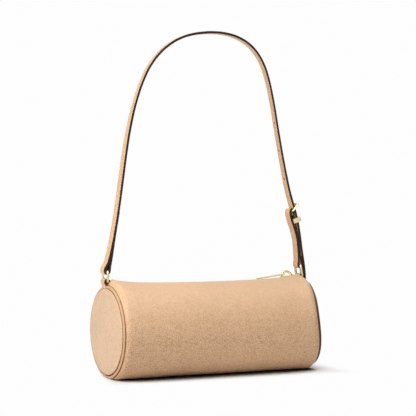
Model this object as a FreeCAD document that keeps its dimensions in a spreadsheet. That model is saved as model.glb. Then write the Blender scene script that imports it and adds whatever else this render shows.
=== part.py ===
import FreeCAD, Part
import math
import os
import re
import Sketcher

# Barrel bag lying on its side: X along the barrel, front towards -Y, Z up.
# The origin is the middle of the flattened underside. All sizes in mm and degrees.

V = FreeCAD.Vector

SIZES = [
    ("barrel_length", 234), ("barrel_radius", 51), ("shoulder_radius", 6.5),
    ("base_drop", 3), ("axis_height", "=barrel_radius - base_drop"),
    ("leather_wall", 1.6), ("interlining_wall", 1.0), ("lining_wall", 0.6), ("seam_gap", 0.05),
    ("welt_radius", 1.7), ("welt_cord_radius", 1.0),
    ("welt_inset", 0.5), ("welt_ring_radius", "=barrel_radius - shoulder_radius - welt_inset"),
    ("seam_allowance", 6), ("end_opening_radius", "=welt_ring_radius - seam_allowance"),
    ("board_inset", 3), ("board_radius", "=welt_ring_radius - board_inset"),
    ("zip_roll", 8), ("tape_margin", 10.5), ("tape_length", "=barrel_length - 2 * tape_margin"),
    ("window_play", 0.2), ("window_length", "=tape_length + 2 * window_play"),
    ("window_width", 12), ("lining_window_width", 16),
    ("tape_reach", 14), ("tape_wall", 0.8), ("flap_line", 5.55), ("flap_gap", 0.1),
    ("tooth_pitch", 2.8), ("tooth_length", 1.2), ("tooth_height", 2.2), ("tooth_reach", 2.4), ("tooth_mesh", 0.5),
    ("stop_length", 1.6),
    ("slider_park", 8.5), ("slider_center", "=tape_length / 2 - slider_park"),
    ("slider_length", 13), ("slider_width", 9), ("plate_wall", 1.0), ("flap_park", 1.5), ("flap_lead", 1),
    ("slider_clearance", 0.25), ("flange_width", 1.4), ("flange_height", 0.45),
    ("wedge_length", 2.2), ("wedge_width", 2.4),
    ("bail_length", 11), ("bail_rise", 5.0), ("bail_wall", 1.3), ("bail_width", 1.8), ("bail_bend", 2.4),
    ("pull_length", 33), ("pull_width", 5), ("pull_wall", 1.2), ("pull_eye", 3.4), ("pull_arm", 1.2),
    ("pull_bar_radius", 0.75), ("pull_play", 0.5), ("pull_slope", 5), ("pull_stop_gap", 0.45),
    ("tab_width", 10.5), ("tab_wall", 1.2), ("tab_inset", 1.25),
    ("tab_foot_rise", 1.3), ("tab_foot_radius", "=welt_ring_radius + tab_foot_rise"),
    ("tab_reach", 7.3), ("tab_lean", 10), ("tab_slot_play", 0.2),
    ("ring_width", 13.8), ("ring_height", 8.9), ("ring_wire_radius", 1.1), ("ring_bend", 2.3), ("eye_play", 0.3),
    ("fold_gap", 0.3), ("strap_width", 10.5), ("strap_layer", 1.1), ("strap_rise", 250), ("strap_turnup", 18),
    ("hole_radius", 1.4), ("hole_pitch", 31.3), ("prong_hole_radius", 1.5),
    ("chape_wall", 1.7), ("chape_rise", 59.9), ("chape_shift", 11.8), ("chape_bend_rise", 27.4),
    ("chape_bend_shift", 1.6), ("tail_gap", 0.1), ("tail_drop", 13.6),
    ("buckle_width", 14.6), ("buckle_length", 10), ("buckle_tilt", 38.5), ("buckle_wire_radius", 1.0),
    ("buckle_bend", 2.2), ("prong_radius", 0.8), ("prong_overhang", 2.0), ("prong_eye_width", 2.6),
    ("keeper_station", 11), ("keeper_height", 5), ("keeper_wall", 0.8), ("keeper_play", 0.3),
]

doc = FreeCAD.newDocument("BarrelBag")
sheet = doc.addObject("Spreadsheet::Sheet", "Sizes")
for row, (alias, value) in enumerate(SIZES, start=1):
    sheet.set("A%d" % row, alias)
    sheet.set("B%d" % row, str(value))
    sheet.setAlias("B%d" % row, alias)
doc.recompute()

nodes = []


def size(alias):
    return float(sheet.get(alias))


def formula(text):
    return re.sub(r"[a-z]+(?:_[a-z]+)+", lambda word: "Sizes." + word.group(0), text)


def solved(text):
    return float(sheet.evalExpression(formula(text)))


def bind(item, **texts):
    for path, text in texts.items():
        item.setExpression(path.replace("__", "."), formula(text))


def put(item, x="0", y="0", z="0"):
    bind(item, Placement__Base__x=x, Placement__Base__y=y, Placement__Base__z=z)
    return item


def put_rolled(item, x, y, z, turn=None):
    # Position in the frame of the rolled top: z is measured from the barrel's axis towards the zip.
    roll = FreeCAD.Rotation(V(1, 0, 0), -size("zip_roll"))
    item.Placement = FreeCAD.Placement(V(), roll * turn if turn else roll)
    if turn is None:
        bind(item, Placement__Rotation__Angle="-zip_roll")
    side = "(%s) * cos(zip_roll * 1 deg) + (%s) * sin(zip_roll * 1 deg)" % (y, z)
    height = "axis_height - (%s) * sin(zip_roll * 1 deg) + (%s) * cos(zip_roll * 1 deg)" % (y, z)
    return put(item, x, side, height)


def box(name, length, width, height):
    item = doc.addObject("Part::Box", name)
    bind(item, Length=length, Width=width, Height=height)
    return item


def rolled_box(name, x, y, z):
    # Each span is a (from, to) pair of formulas.
    item = box(name, "(%s) - (%s)" % (x[1], x[0]), "(%s) - (%s)" % (y[1], y[0]), "(%s) - (%s)" % (z[1], z[0]))
    return put_rolled(item, x[0], y[0], z[0])


def disc(name, radius, start, length):
    item = doc.addObject("Part::Cylinder", name)
    item.Placement = FreeCAD.Placement(V(), FreeCAD.Rotation(V(0, 1, 0), 90))
    bind(item, Radius=radius, Height=length)
    return put(item, start, "0", "axis_height")


def hoop(name, ring_radius, radius, x):
    item = doc.addObject("Part::Torus", name)
    item.Placement = FreeCAD.Placement(V(), FreeCAD.Rotation(V(0, 1, 0), 90))
    bind(item, Radius1=ring_radius, Radius2=radius)
    return put(item, x, "0", "axis_height")


def fuse(name, items):
    item = doc.addObject("Part::MultiFuse", name)
    item.Shapes = items
    return item


def cut(name, base, tools):
    item = doc.addObject("Part::Cut", name)
    item.Base = base
    item.Tool = tools[0] if len(tools) == 1 else fuse(name + "Tools", tools)
    return item


def common(name, first, second):
    item = doc.addObject("Part::Common", name)
    item.Base = first
    item.Tool = second
    return item


def keep(item):
    nodes.append(item)
    return item


def origin_plane(body, role):
    return [item for item in body.Origin.OriginFeatures if item.Role == role][0]


def new_sketch(body, name, role):
    sketch = body.newObject("Sketcher::SketchObject", name)
    sketch.AttachmentSupport = (origin_plane(body, role), [""])
    sketch.MapMode = "FlatFace"
    return sketch


def dimension(sketch, constraint, name, text):
    index = sketch.addConstraint(constraint)
    sketch.renameConstraint(index, name)
    sketch.setExpression("Constraints." + name, formula(text))


def add_rectangle(sketch, tag, x, y):
    # Spans are (from, to) pairs of formulas, with the numbers needed to start the solver.
    first = sketch.GeometryCount
    corners = [V(-1, -1, 0), V(1, -1, 0), V(1, 1, 0), V(-1, 1, 0)]
    for start, end in zip(corners, corners[1:] + corners[:1]):
        sketch.addGeometry(Part.LineSegment(start, end))
    for step in range(4):
        sketch.addConstraint(Sketcher.Constraint("Coincident", first + step, 2, first + (step + 1) % 4, 1))
        sketch.addConstraint(Sketcher.Constraint("Horizontal" if step % 2 == 0 else "Vertical", first + step))
    dimension(sketch, Sketcher.Constraint("DistanceX", -1, 1, first, 1, -1.0), tag + "West", x[0])
    dimension(sketch, Sketcher.Constraint("DistanceX", -1, 1, first + 1, 1, 1.0), tag + "East", x[1])
    dimension(sketch, Sketcher.Constraint("DistanceY", -1, 1, first, 1, -1.0), tag + "South", y[0])
    dimension(sketch, Sketcher.Constraint("DistanceY", -1, 1, first + 2, 1, 1.0), tag + "North", y[1])


def add_pad(body, name, sketch, length, midplane):
    pad = body.newObject("PartDesign::Pad", name)
    pad.Profile = sketch
    pad.Midplane = midplane
    bind(pad, Length=length)
    sketch.Visibility = False
    return pad


# Flat outlines in the XZ plane, given as corners (x, z, bend radius).


def unit(start, end):
    run = math.hypot(end[0] - start[0], end[1] - start[1])
    return ((end[0] - start[0]) / run, (end[1] - start[1]) / run)


def move(point, direction, distance):
    return (point[0] + direction[0] * distance, point[1] + direction[1] * distance)


def left_of(direction):
    return (-direction[1], direction[0])


def shifted(corners, distance, closed):
    # The same outline moved to the left of its run.
    moved = []
    count = len(corners)
    for index, corner in enumerate(corners):
        before = corners[index - 1] if closed or index > 0 else None
        after = corners[(index + 1) % count] if closed or index < count - 1 else None
        come = unit(before, corner) if before else unit(corner, after)
        leave = unit(corner, after) if after else come
        first, second = left_of(come), left_of(leave)
        share = 1 + first[0] * second[0] + first[1] * second[1]
        x = corner[0] + (first[0] + second[0]) * distance / share
        z = corner[1] + (first[1] + second[1]) * distance / share
        turns_left = come[0] * leave[1] - come[1] * leave[0] > 0
        moved.append((x, z, corner[2] - distance if turns_left else corner[2] + distance))
    return moved


def outline(corners, closed, y):
    # Straight runs joined by tangent arcs.
    runs = []
    count = len(corners)
    for index, corner in enumerate(corners):
        if not closed and index in (0, count - 1):
            runs.append((corner, corner, None))
            continue
        come = unit(corners[index - 1], corner)
        leave = unit(corner, corners[(index + 1) % count])
        half_turn = math.acos(max(-1.0, min(1.0, come[0] * leave[0] + come[1] * leave[1]))) / 2
        reach = corner[2] * math.tan(half_turn)
        inward = unit((0, 0), (leave[0] - come[0], leave[1] - come[1]))
        middle = move(corner, inward, corner[2] / math.cos(half_turn) - corner[2])
        runs.append((move(corner, come, -reach), move(corner, leave, reach), middle))
    edges = []
    for index, (start, end, middle) in enumerate(runs):
        if middle:
            edges.append(Part.Arc(*[V(p[0], y, p[1]) for p in (start, middle, end)]).toShape())
        if closed or index < count - 1:
            following = runs[(index + 1) % count][0]
            if math.hypot(following[0] - end[0], following[1] - end[1]) > 1e-6:
                edges.append(Part.makeLine(V(end[0], y, end[1]), V(following[0], y, following[1])))
    return edges


def strip_solid(corners, low, high, width):
    near = outline(shifted(corners, low, False), False, -width / 2)
    far = outline(shifted(corners, high, False), False, -width / 2)
    ends = [Part.makeLine(near[0].Vertexes[0].Point, far[0].Vertexes[0].Point),
            Part.makeLine(near[-1].Vertexes[-1].Point, far[-1].Vertexes[-1].Point)]
    face = Part.Face(Part.Wire(Part.__sortEdges__(near + far + ends)))
    return face.extrude(V(0, width, 0))


def band_solid(corners, low, high, width):
    outer = Part.Wire(Part.__sortEdges__(outline(shifted(corners, low, True), True, -width / 2)))
    inner = Part.Wire(Part.__sortEdges__(outline(shifted(corners, high, True), True, -width / 2)))
    return Part.Face(outer).cut(Part.Face(inner)).Faces[0].extrude(V(0, width, 0))


def eye_corners(center, axis, merge, half_gap, radius, bend):
    # A strip that runs in along the axis, round a bar at the center, and out again.
    side = left_of(axis)
    distance = math.hypot(merge, half_gap)
    angle = math.atan2(half_gap, merge) + math.acos(radius / distance)
    along = radius * math.cos(angle) - merge
    across = radius * math.sin(angle) - half_gap
    reach = half_gap + across * (-radius - merge) / along
    spots = [(merge, half_gap, bend), (-radius, reach, radius), (-radius, -reach, radius), (merge, -half_gap, bend)]
    return [move(move(center, axis, spot[0]), side, spot[1]) + (spot[2],) for spot in spots]


def across_bar(center, direction, radius, length):
    # A round cutter or rod in the XZ plane, centered on a point.
    start = move(center, direction, -length / 2)
    return Part.makeCylinder(radius, length, V(start[0], 0, start[1]), V(direction[0], 0, direction[1]))


def feature(name, shape):
    item = doc.addObject("Part::Feature", name)
    item.Shape = shape
    return item


# Shell

END = "(barrel_length / 2 - 2 * welt_radius - seam_gap)"
LAYERS = [
    ("Outside", "0"),
    ("Leather", "leather_wall"),
    ("Interlining", "leather_wall + interlining_wall"),
    ("Lining", "leather_wall + interlining_wall + lining_wall"),
]


def barrel(name, inset):
    body = doc.addObject("PartDesign::Body", name + "Barrel")
    sketch = new_sketch(body, name + "Profile", "XZ_Plane")
    half, radius, bend = 100.0, 50.0, 5.0
    low = radius - bend
    straight = half - bend
    for geometry in (
        Part.LineSegment(V(-half, 0, 0), V(-half, low, 0)),
        Part.ArcOfCircle(Part.Circle(V(-straight, low, 0), V(0, 0, 1), bend), math.pi / 2, math.pi),
        Part.LineSegment(V(-straight, radius, 0), V(straight, radius, 0)),
        Part.ArcOfCircle(Part.Circle(V(straight, low, 0), V(0, 0, 1), bend), 0, math.pi / 2),
        Part.LineSegment(V(half, low, 0), V(half, 0, 0)),
        Part.LineSegment(V(half, 0, 0), V(-half, 0, 0)),
    ):
        sketch.addGeometry(geometry)
    for first, first_end, second, second_end in ((0, 2, 1, 2), (1, 1, 2, 1), (2, 2, 3, 2), (3, 1, 4, 1)):
        sketch.addConstraint(Sketcher.Constraint("Tangent", first, first_end, second, second_end))
    sketch.addConstraint(Sketcher.Constraint("Coincident", 4, 2, 5, 1))
    sketch.addConstraint(Sketcher.Constraint("Coincident", 5, 2, 0, 1))
    sketch.addConstraint(Sketcher.Constraint("Vertical", 0))
    sketch.addConstraint(Sketcher.Constraint("Vertical", 4))
    sketch.addConstraint(Sketcher.Constraint("Horizontal", 2))
    sketch.addConstraint(Sketcher.Constraint("Equal", 1, 3))
    sketch.addConstraint(Sketcher.Constraint("Symmetric", 5, 1, 5, 2, -1, 1))
    dimension(sketch, Sketcher.Constraint("DistanceX", 5, 2, -1, 1, half), "half", "%s - (%s)" % (END, inset))
    dimension(sketch, Sketcher.Constraint("DistanceY", -1, 1, 2, 1, radius), "top", "barrel_radius - (%s)" % inset)
    dimension(sketch, Sketcher.Constraint("Radius", 1, bend), "bend", "shoulder_radius - (%s)" % inset)
    turn = body.newObject("PartDesign::Revolution", name + "Turn")
    turn.Profile = sketch
    turn.ReferenceAxis = (sketch, ["H_Axis"])
    turn.Angle = 360
    put(body, "0", "0", "axis_height")
    floor = box(name + "Floor", "2 * barrel_length", "4 * barrel_radius", "barrel_radius")
    put(floor, "-barrel_length", "-2 * barrel_radius", "%s - barrel_radius" % inset)
    return cut(name + "Flattened", body, [floor])


flattened = [barrel(name, inset) for name, inset in LAYERS]


def end_cutters(name, radius):
    return disc(name, radius, "-barrel_length", "2 * barrel_length")


def window(name, length, width):
    span = ("-(%s) / 2" % length, "(%s) / 2" % length)
    across = ("-(%s) / 2" % width, "(%s) / 2" % width)
    return rolled_box(name, span, across, ("barrel_radius / 2", "2 * barrel_radius"))


TOP_Y = "barrel_radius * sin(zip_roll * 1 deg)"
FOOT_Z = "(axis_height + tab_foot_radius * cos(zip_roll * 1 deg))"
SIDES = (("left", -1), ("right", 1))


def tab_slot(side, sign):
    body = doc.addObject("PartDesign::Body", "tab_slot_" + side)
    sketch = new_sketch(body, "TabSlotOutline_" + side, "XY_Plane")
    thick = "(tab_wall + fold_gap / 2 + tab_slot_play)"
    wide = "(tab_width / 2 + seam_gap)"
    add_rectangle(sketch, "slot", ("-" + thick, thick), ("-" + wide, wide))
    add_pad(body, "TabSlotPad_" + side, sketch, "2 * tab_reach", False)
    body.Placement = FreeCAD.Placement(V(), FreeCAD.Rotation(V(0, 1, 0), sign * size("tab_lean")))
    return put(body, "%d * (%s - tab_inset)" % (sign, END), TOP_Y, FOOT_Z)


slots = [tab_slot(side, sign) for side, sign in SIDES]
keep(cut("body_panel", flattened[0], [flattened[1], end_cutters("EndOpening", "end_opening_radius"),
                                      window("LeatherWindow", "window_length", "window_width")] + slots))
keep(cut("interlining", flattened[1], [flattened[2], end_cutters("BoardOpening", "board_radius + seam_gap"),
                                       window("TapeWindow", "tape_length + 2 * fold_gap",
                                              "2 * (tape_reach + fold_gap)")] + slots))
keep(cut("lining_sleeve", flattened[2], [flattened[3], end_cutters("LiningOpening", "board_radius + seam_gap"),
                                         window("LiningWindow", "window_length", "lining_window_width")]))

for side, sign in SIDES:
    face = "%d * %s" % (sign, END)
    leather = "leather_wall"
    board = "(leather_wall + interlining_wall)"
    lining = "(leather_wall + interlining_wall + lining_wall)"
    starts = {
        "panel": face if sign > 0 else "%s - leather_wall" % face,
        "board": "%s - %s" % (face, board) if sign > 0 else "%s + %s" % (face, leather),
        "lining": "%s - %s" % (face, lining) if sign > 0 else "%s + %s" % (face, board),
    }
    keep(disc("end_panel_" + side, "welt_ring_radius - welt_radius - seam_gap", starts["panel"], "leather_wall"))
    keep(disc("end_board_" + side, "board_radius", starts["board"], "interlining_wall"))
    keep(disc("lining_end_" + side, "board_radius", starts["lining"], "lining_wall"))
    welt_x = "%d * (barrel_length / 2 - welt_radius)" % sign
    outer = hoop("WeltOuter_" + side, "welt_ring_radius", "welt_radius", welt_x)
    core = hoop("WeltCore_" + side, "welt_ring_radius", "welt_cord_radius", welt_x)
    keep(cut("welt_cover_" + side, outer, [core]))
    keep(hoop("welt_cord_" + side, "welt_ring_radius", "welt_cord_radius", welt_x))

# Zip, in the frame of the rolled top

TAPE_TOP = "(barrel_radius - leather_wall)"
TAPE_MIDDLE = "(barrel_radius - leather_wall - tape_wall / 2)"
TOOTH_TOP = "(%s + tooth_height / 2)" % TAPE_MIDDLE
TOOTH_FOOT = "(%s - tooth_height / 2)" % TAPE_MIDDLE
EDGE = "(tooth_reach + seam_gap)"
SLIDER_WEST = "(slider_center - slider_length / 2)"
SLIDER_EAST = "(slider_center + slider_length / 2)"
RING_X = "(%s - tab_inset + tab_reach * sin(tab_lean * 1 deg))" % END
PIVOT_X = "(slider_center - bail_length / 2 + bail_wall / 2 + pull_play + pull_bar_radius)"
PULL_TIP = "(%s - pull_length * cos(pull_slope * 1 deg) - pull_wall / 2 * sin(pull_slope * 1 deg))" % PIVOT_X
TAB_INSIDE = "(%s - ring_wire_radius - eye_play - tab_wall)" % RING_X
# The slider stops where its pull, lying flat, meets the tab at the left end.
TRAVEL = "(%s + %s - pull_stop_gap)" % (PULL_TIP, TAB_INSIDE)
FLAP_EAST = "(%s - flap_park)" % SLIDER_WEST
FLAP_WEST = "(slider_center - %s + flap_lead)" % TRAVEL
tape_start = "-tape_length / 2"
tube_outer = disc("TapeOuter", TAPE_TOP, tape_start, "tape_length")
tube_inner = disc("TapeInner", "%s - tape_wall" % TAPE_TOP, tape_start, "tape_length")
tape_tube = cut("TapeTube", tube_outer, [tube_inner])

for side, sign in (("front", -1), ("back", 1)):
    def across(near, far):
        return ("-(%s)" % far, "-(%s)" % near) if sign < 0 else (near, far)
    whole = ("-tape_length", "tape_length")
    rise = ("barrel_radius / 2", "barrel_radius")
    cleared = ("%s - flap_gap" % FLAP_WEST, "%s + flap_gap" % FLAP_EAST)
    strip = rolled_box("TapeReach_" + side, whole, across(EDGE, "tape_reach"), rise)
    clear = rolled_box("FlapClear_" + side, cleared, across("0", "flap_line + flap_gap / 2"), rise)
    keep(cut("zip_tape_" + side, common("TapeStrip_" + side, tape_tube, strip), [clear]))
    flap = rolled_box("FlapSpan_" + side, (FLAP_WEST, FLAP_EAST), across(EDGE, "flap_line - flap_gap / 2"), rise)
    keep(common("zip_flap_" + side, tape_tube, flap))


def tooth(x, sign):
    near = -size("tooth_mesh") if sign > 0 else -size("tooth_reach")
    foot = size("barrel_radius") - size("leather_wall") - size("tape_wall") / 2 - size("tooth_height") / 2
    corner = V(x - size("tooth_length") / 2, near, foot)
    return Part.makeBox(size("tooth_length"), size("tooth_reach") + size("tooth_mesh"), size("tooth_height"), corner)


def teeth(name, rows, low, high):
    pitch = size("tooth_pitch")
    margin = size("tooth_length") / 2
    solids = []
    for sign in rows:
        for step in range(math.floor(low / pitch), math.ceil(high / pitch) + 1):
            x = pitch * (step + 0.25 * sign)
            if low + margin <= x <= high - margin:
                solids.append(tooth(x, sign))
    return put_rolled(feature(name, Part.makeCompound(solids)), "0", "0", "0")


parked = size("slider_center")
flap_west = solved(FLAP_WEST)
flap_east = solved(FLAP_EAST)
keep(teeth("zip_teeth_front", (-1,), flap_west, flap_east))
keep(teeth("zip_teeth_back", (1,), flap_west, flap_east))
keep(teeth("zip_end_teeth_right", (-1, 1), flap_east, parked))
keep(teeth("zip_end_teeth_left", (-1, 1), -size("tape_length") / 2 + size("stop_length"), flap_west))

stop_high = ("tape_length / 2 - stop_length", "tape_length / 2")
stop_low = ("-tape_length / 2", "-tape_length / 2 + stop_length")
stop_rise = (TOOTH_FOOT, TOOTH_TOP)
stops = doc.addObject("Part::Compound", "zip_top_stops")
stops.Links = [rolled_box("TopStopFront", stop_high, ("-tooth_reach", "-tooth_mesh"), stop_rise),
               rolled_box("TopStopBack", stop_high, ("tooth_mesh", "tooth_reach"), stop_rise)]
keep(stops)
keep(rolled_box("zip_bottom_stop", stop_low, ("-tooth_reach", "tooth_reach"), stop_rise))

slider_x = (SLIDER_WEST, SLIDER_EAST)
slider_y = ("-slider_width / 2", "slider_width / 2")
UPPER = "(%s + slider_clearance)" % TOOTH_TOP
LOWER = "(%s - slider_clearance)" % TOOTH_FOOT
wedge_x = ("%s - 2 * wedge_length" % SLIDER_EAST, "%s - wedge_length" % SLIDER_EAST)
pieces = [
    rolled_box("SliderTop", slider_x, slider_y, (UPPER, "%s + plate_wall" % UPPER)),
    rolled_box("SliderBottom", slider_x, slider_y, ("%s - plate_wall" % LOWER, LOWER)),
    rolled_box("SliderWedge", wedge_x, ("-wedge_width / 2", "wedge_width / 2"), (LOWER, UPPER)),
]
for side, span in (("Front", ("-slider_width / 2", "-slider_width / 2 + flange_width")),
                   ("Back", ("slider_width / 2 - flange_width", "slider_width / 2"))):
    pieces.append(rolled_box("FlangeTop" + side, slider_x, span, ("%s - flange_height" % UPPER, UPPER)))
    pieces.append(rolled_box("FlangeBottom" + side, slider_x, span, (LOWER, "%s + flange_height" % LOWER)))
keep(fuse("slider_body", pieces))

tape_middle = size("barrel_radius") - size("leather_wall") - size("tape_wall") / 2
deck = tape_middle + size("tooth_height") / 2 + size("slider_clearance") + size("plate_wall")
bail_west = parked - size("bail_length") / 2
bail_east = parked + size("bail_length") / 2
bail_top = deck + size("bail_rise") + size("bail_wall") / 2
bail_path = [(bail_west, deck, 0), (bail_west, bail_top, size("bail_bend")),
             (bail_east, bail_top, size("bail_bend")), (bail_east, deck, 0)]
half_bail = size("bail_wall") / 2
bail = feature("slider_bail", strip_solid(bail_path, -half_bail, half_bail, size("bail_width")))
keep(put_rolled(bail, "0", "0", "0"))

pull = doc.addObject("PartDesign::Body", "zip_pull")
plate = new_sketch(pull, "PullOutline", "XY_Plane")
add_rectangle(plate, "plate", ("-pull_length", "0"), ("-pull_width / 2", "pull_width / 2"))
add_pad(pull, "PullPlate", plate, "pull_wall", True)
eye = new_sketch(pull, "PullEye", "XY_Plane")
add_rectangle(eye, "eye", ("-pull_eye", "pull_eye"),
              ("-(pull_width / 2 - pull_arm)", "pull_width / 2 - pull_arm"))
slot = pull.newObject("PartDesign::Pocket", "PullSlot")
slot.Profile = eye
slot.Type = 1
slot.Midplane = True
bar = new_sketch(pull, "PullBar", "XZ_Plane")
bar.addGeometry(Part.Circle(V(0, 0, 0), V(0, 0, 1), 1.0))
bar.addConstraint(Sketcher.Constraint("Coincident", 0, 3, -1, 1))
dimension(bar, Sketcher.Constraint("Radius", 0, 1.0), "radius", "pull_bar_radius")
add_pad(pull, "PullBarPad", bar, "pull_width", True)
DECK = "(%s + plate_wall)" % UPPER
PIVOT_Z = "%s + bail_rise - pull_play - pull_bar_radius" % DECK
keep(put_rolled(pull, PIVOT_X, "0", PIVOT_Z, FreeCAD.Rotation(V(0, 1, 0), -size("pull_slope"))))

# Tabs, rings

lean = math.radians(size("tab_lean"))
roll = math.radians(size("zip_roll"))
end_face = size("barrel_length") / 2 - 2 * size("welt_radius") - size("seam_gap")
foot = (end_face - size("tab_inset"), size("axis_height") + size("tab_foot_radius") * math.cos(roll))
tab_axis = (math.sin(lean), math.cos(lean))
tab_eye = move(foot, tab_axis, size("tab_reach"))
ring_x = tab_eye[0]
ring_top = tab_eye[1] + size("ring_height")
eye_inside = size("ring_wire_radius") + size("eye_play")
half_fold = size("fold_gap") / 2

EYE_Z = "(%s + tab_reach * cos(tab_lean * 1 deg))" % FOOT_Z

tab_leg = half_fold + size("tab_wall") / 2
down = (-tab_axis[0], -tab_axis[1])
tab_eye_radius = eye_inside + size("tab_wall") / 2
loop = eye_corners(tab_eye, down, 1.75 * tab_eye_radius, tab_leg, tab_eye_radius, tab_eye_radius)
left_side = left_of(down)
tab_path = [move(foot, left_side, tab_leg) + (0,)] + loop + [move(foot, left_side, -tab_leg) + (0,)]
tab_shape = strip_solid(tab_path, -size("tab_wall") / 2, size("tab_wall") / 2, size("tab_width"))

for side, sign in SIDES:
    shape = tab_shape if sign > 0 else tab_shape.mirror(V(0, 0, 0), V(1, 0, 0))
    keep(put(feature("tab_" + side, shape), "0", TOP_Y, "0"))


def wire_frame(name, width, height, bend, radius):
    # Rounded rectangle of round wire in the XY plane, centered.
    items = []
    for tag, sign in (("Low", -1), ("High", 1)):
        rail = doc.addObject("Part::Cylinder", name + "Rail" + tag)
        rail.Placement = FreeCAD.Placement(V(), FreeCAD.Rotation(V(0, 1, 0), 90))
        bind(rail, Radius=radius, Height="%s - 2 * %s" % (width, bend))
        items.append(put(rail, "%s - %s / 2" % (bend, width), "%d * %s / 2" % (sign, height)))
        post = doc.addObject("Part::Cylinder", name + "Post" + tag)
        post.Placement = FreeCAD.Placement(V(), FreeCAD.Rotation(V(1, 0, 0), -90))
        bind(post, Radius=radius, Height="%s - 2 * %s" % (height, bend))
        items.append(put(post, "%d * %s / 2" % (sign, width), "%s - %s / 2" % (bend, height)))
    for quarter, (x, y) in enumerate(((1, 1), (-1, 1), (-1, -1), (1, -1))):
        corner = doc.addObject("Part::Torus", name + "Corner%d" % quarter)
        corner.Angle3 = 90
        corner.Placement = FreeCAD.Placement(V(), FreeCAD.Rotation(V(0, 0, 1), 90 * quarter))
        bind(corner, Radius1=bend, Radius2=radius)
        items.append(put(corner, "%d * (%s / 2 - %s)" % (x, width, bend), "%d * (%s / 2 - %s)" % (y, height, bend)))
    return fuse(name, items)


upright = FreeCAD.Rotation(V(1, 1, 1), 120)
for side, sign in SIDES:
    ring = wire_frame("ring_" + side, "ring_width", "ring_height", "ring_bend", "ring_wire_radius")
    ring.Placement = FreeCAD.Placement(V(), upright)
    keep(put(ring, "%d * %s" % (sign, RING_X), TOP_Y, "%s + ring_height / 2" % EYE_Z))

# Chape, buckle and strap

lower = (ring_x, ring_top)
middle = (ring_x - size("chape_bend_shift"), ring_top + size("chape_bend_rise"))
heel = (ring_x - size("chape_shift"), ring_top + size("chape_rise"))
rising = unit(lower, middle)
falling = unit(heel, middle)
outward = left_of(falling)
chape_wall = size("chape_wall")
chape_leg = half_fold + chape_wall / 2
lower_radius = eye_inside + chape_wall / 2
heel_inside = size("buckle_wire_radius") + size("eye_play")
upper_radius = heel_inside + chape_wall / 2
chape_bend = 20.0
line = [lower + (0,), middle + (chape_bend,), heel + (0,)]
chape_path = (eye_corners(lower, rising, 3 * lower_radius, chape_leg, lower_radius, 2.5 * lower_radius)
              + [shifted(line, -chape_leg, False)[1]]
              + eye_corners(heel, falling, 3 * upper_radius, chape_leg, upper_radius, 2.5 * upper_radius)
              + [shifted(line, chape_leg, False)[1]])
chape_shape = band_solid(chape_path, -chape_wall / 2, chape_wall / 2, size("strap_width"))
prong_slot = Part.makeCylinder(upper_radius + chape_wall / 2 + half_fold, size("prong_eye_width") + 2 * size("eye_play"),
                               V(heel[0], -size("prong_eye_width") / 2 - size("eye_play"), heel[1]), V(0, 1, 0))
keep(put(feature("chape", chape_shape.cut(prong_slot)), "0", TOP_Y, "0"))

tilt = math.radians(size("buckle_tilt"))
frame_axis = (math.sin(tilt), math.cos(tilt))
top_bar = move(heel, frame_axis, size("buckle_length"))
HEEL_X = "(%s - chape_shift)" % RING_X
HEEL_Z = "(%s + ring_height + chape_rise)" % EYE_Z
frame = wire_frame("buckle_frame", "buckle_width", "buckle_length", "buckle_bend", "buckle_wire_radius")
frame.Placement = FreeCAD.Placement(V(), FreeCAD.Rotation(V(0, 1, 0), size("buckle_tilt")) * upright)
keep(put(frame, "%s + buckle_length / 2 * sin(buckle_tilt * 1 deg)" % HEEL_X, TOP_Y,
         "%s + buckle_length / 2 * cos(buckle_tilt * 1 deg)" % HEEL_Z))

prong_radius = size("prong_radius")
rest = move(top_bar, left_of(frame_axis), -(size("buckle_wire_radius") + prong_radius + size("seam_gap")))
prong_axis = unit(heel, rest)
prong_length = math.hypot(rest[0] - heel[0], rest[1] - heel[1]) + size("prong_overhang")
prong_eye_radius = heel_inside + 2 * prong_radius - size("eye_play")
prong_width = size("prong_eye_width")
prong_root = V(heel[0], -prong_width / 2, heel[1])
prong_hub = Part.makeCylinder(prong_eye_radius, prong_width, prong_root, V(0, 1, 0))
prong_bore = Part.makeCylinder(size("buckle_wire_radius") + size("seam_gap"), prong_width, prong_root, V(0, 1, 0))
prong_middle = move(heel, prong_axis, prong_length / 2)
prong_shape = prong_hub.fuse(across_bar(prong_middle, prong_axis, prong_radius, prong_length)).cut(prong_bore)
keep(put(feature("buckle_prong", prong_shape.removeSplitter()), "0", TOP_Y, "0"))

strap_layer = size("strap_layer")
strap_leg = half_fold + strap_layer
strap_radius = eye_inside + strap_layer
rise = size("strap_rise")
left_bar = (-ring_x, ring_top)


def over(share_x, share_z):
    # A corner of the strap as shares of the half span and of the rise above the rings.
    return (share_x * ring_x, ring_top + share_z * rise)


def eased(before, corner, after, share):
    # A corner whose bend takes up a share of the shorter run beside it.
    come = unit(before, corner)
    leave = unit(corner, after)
    half_turn = math.acos(max(-1.0, min(1.0, come[0] * leave[0] + come[1] * leave[1]))) / 2
    run = min(math.dist(before[:2], corner[:2]), math.dist(corner[:2], after[:2]))
    return corner[:2] + (share * run / math.tan(half_turn),)


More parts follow.
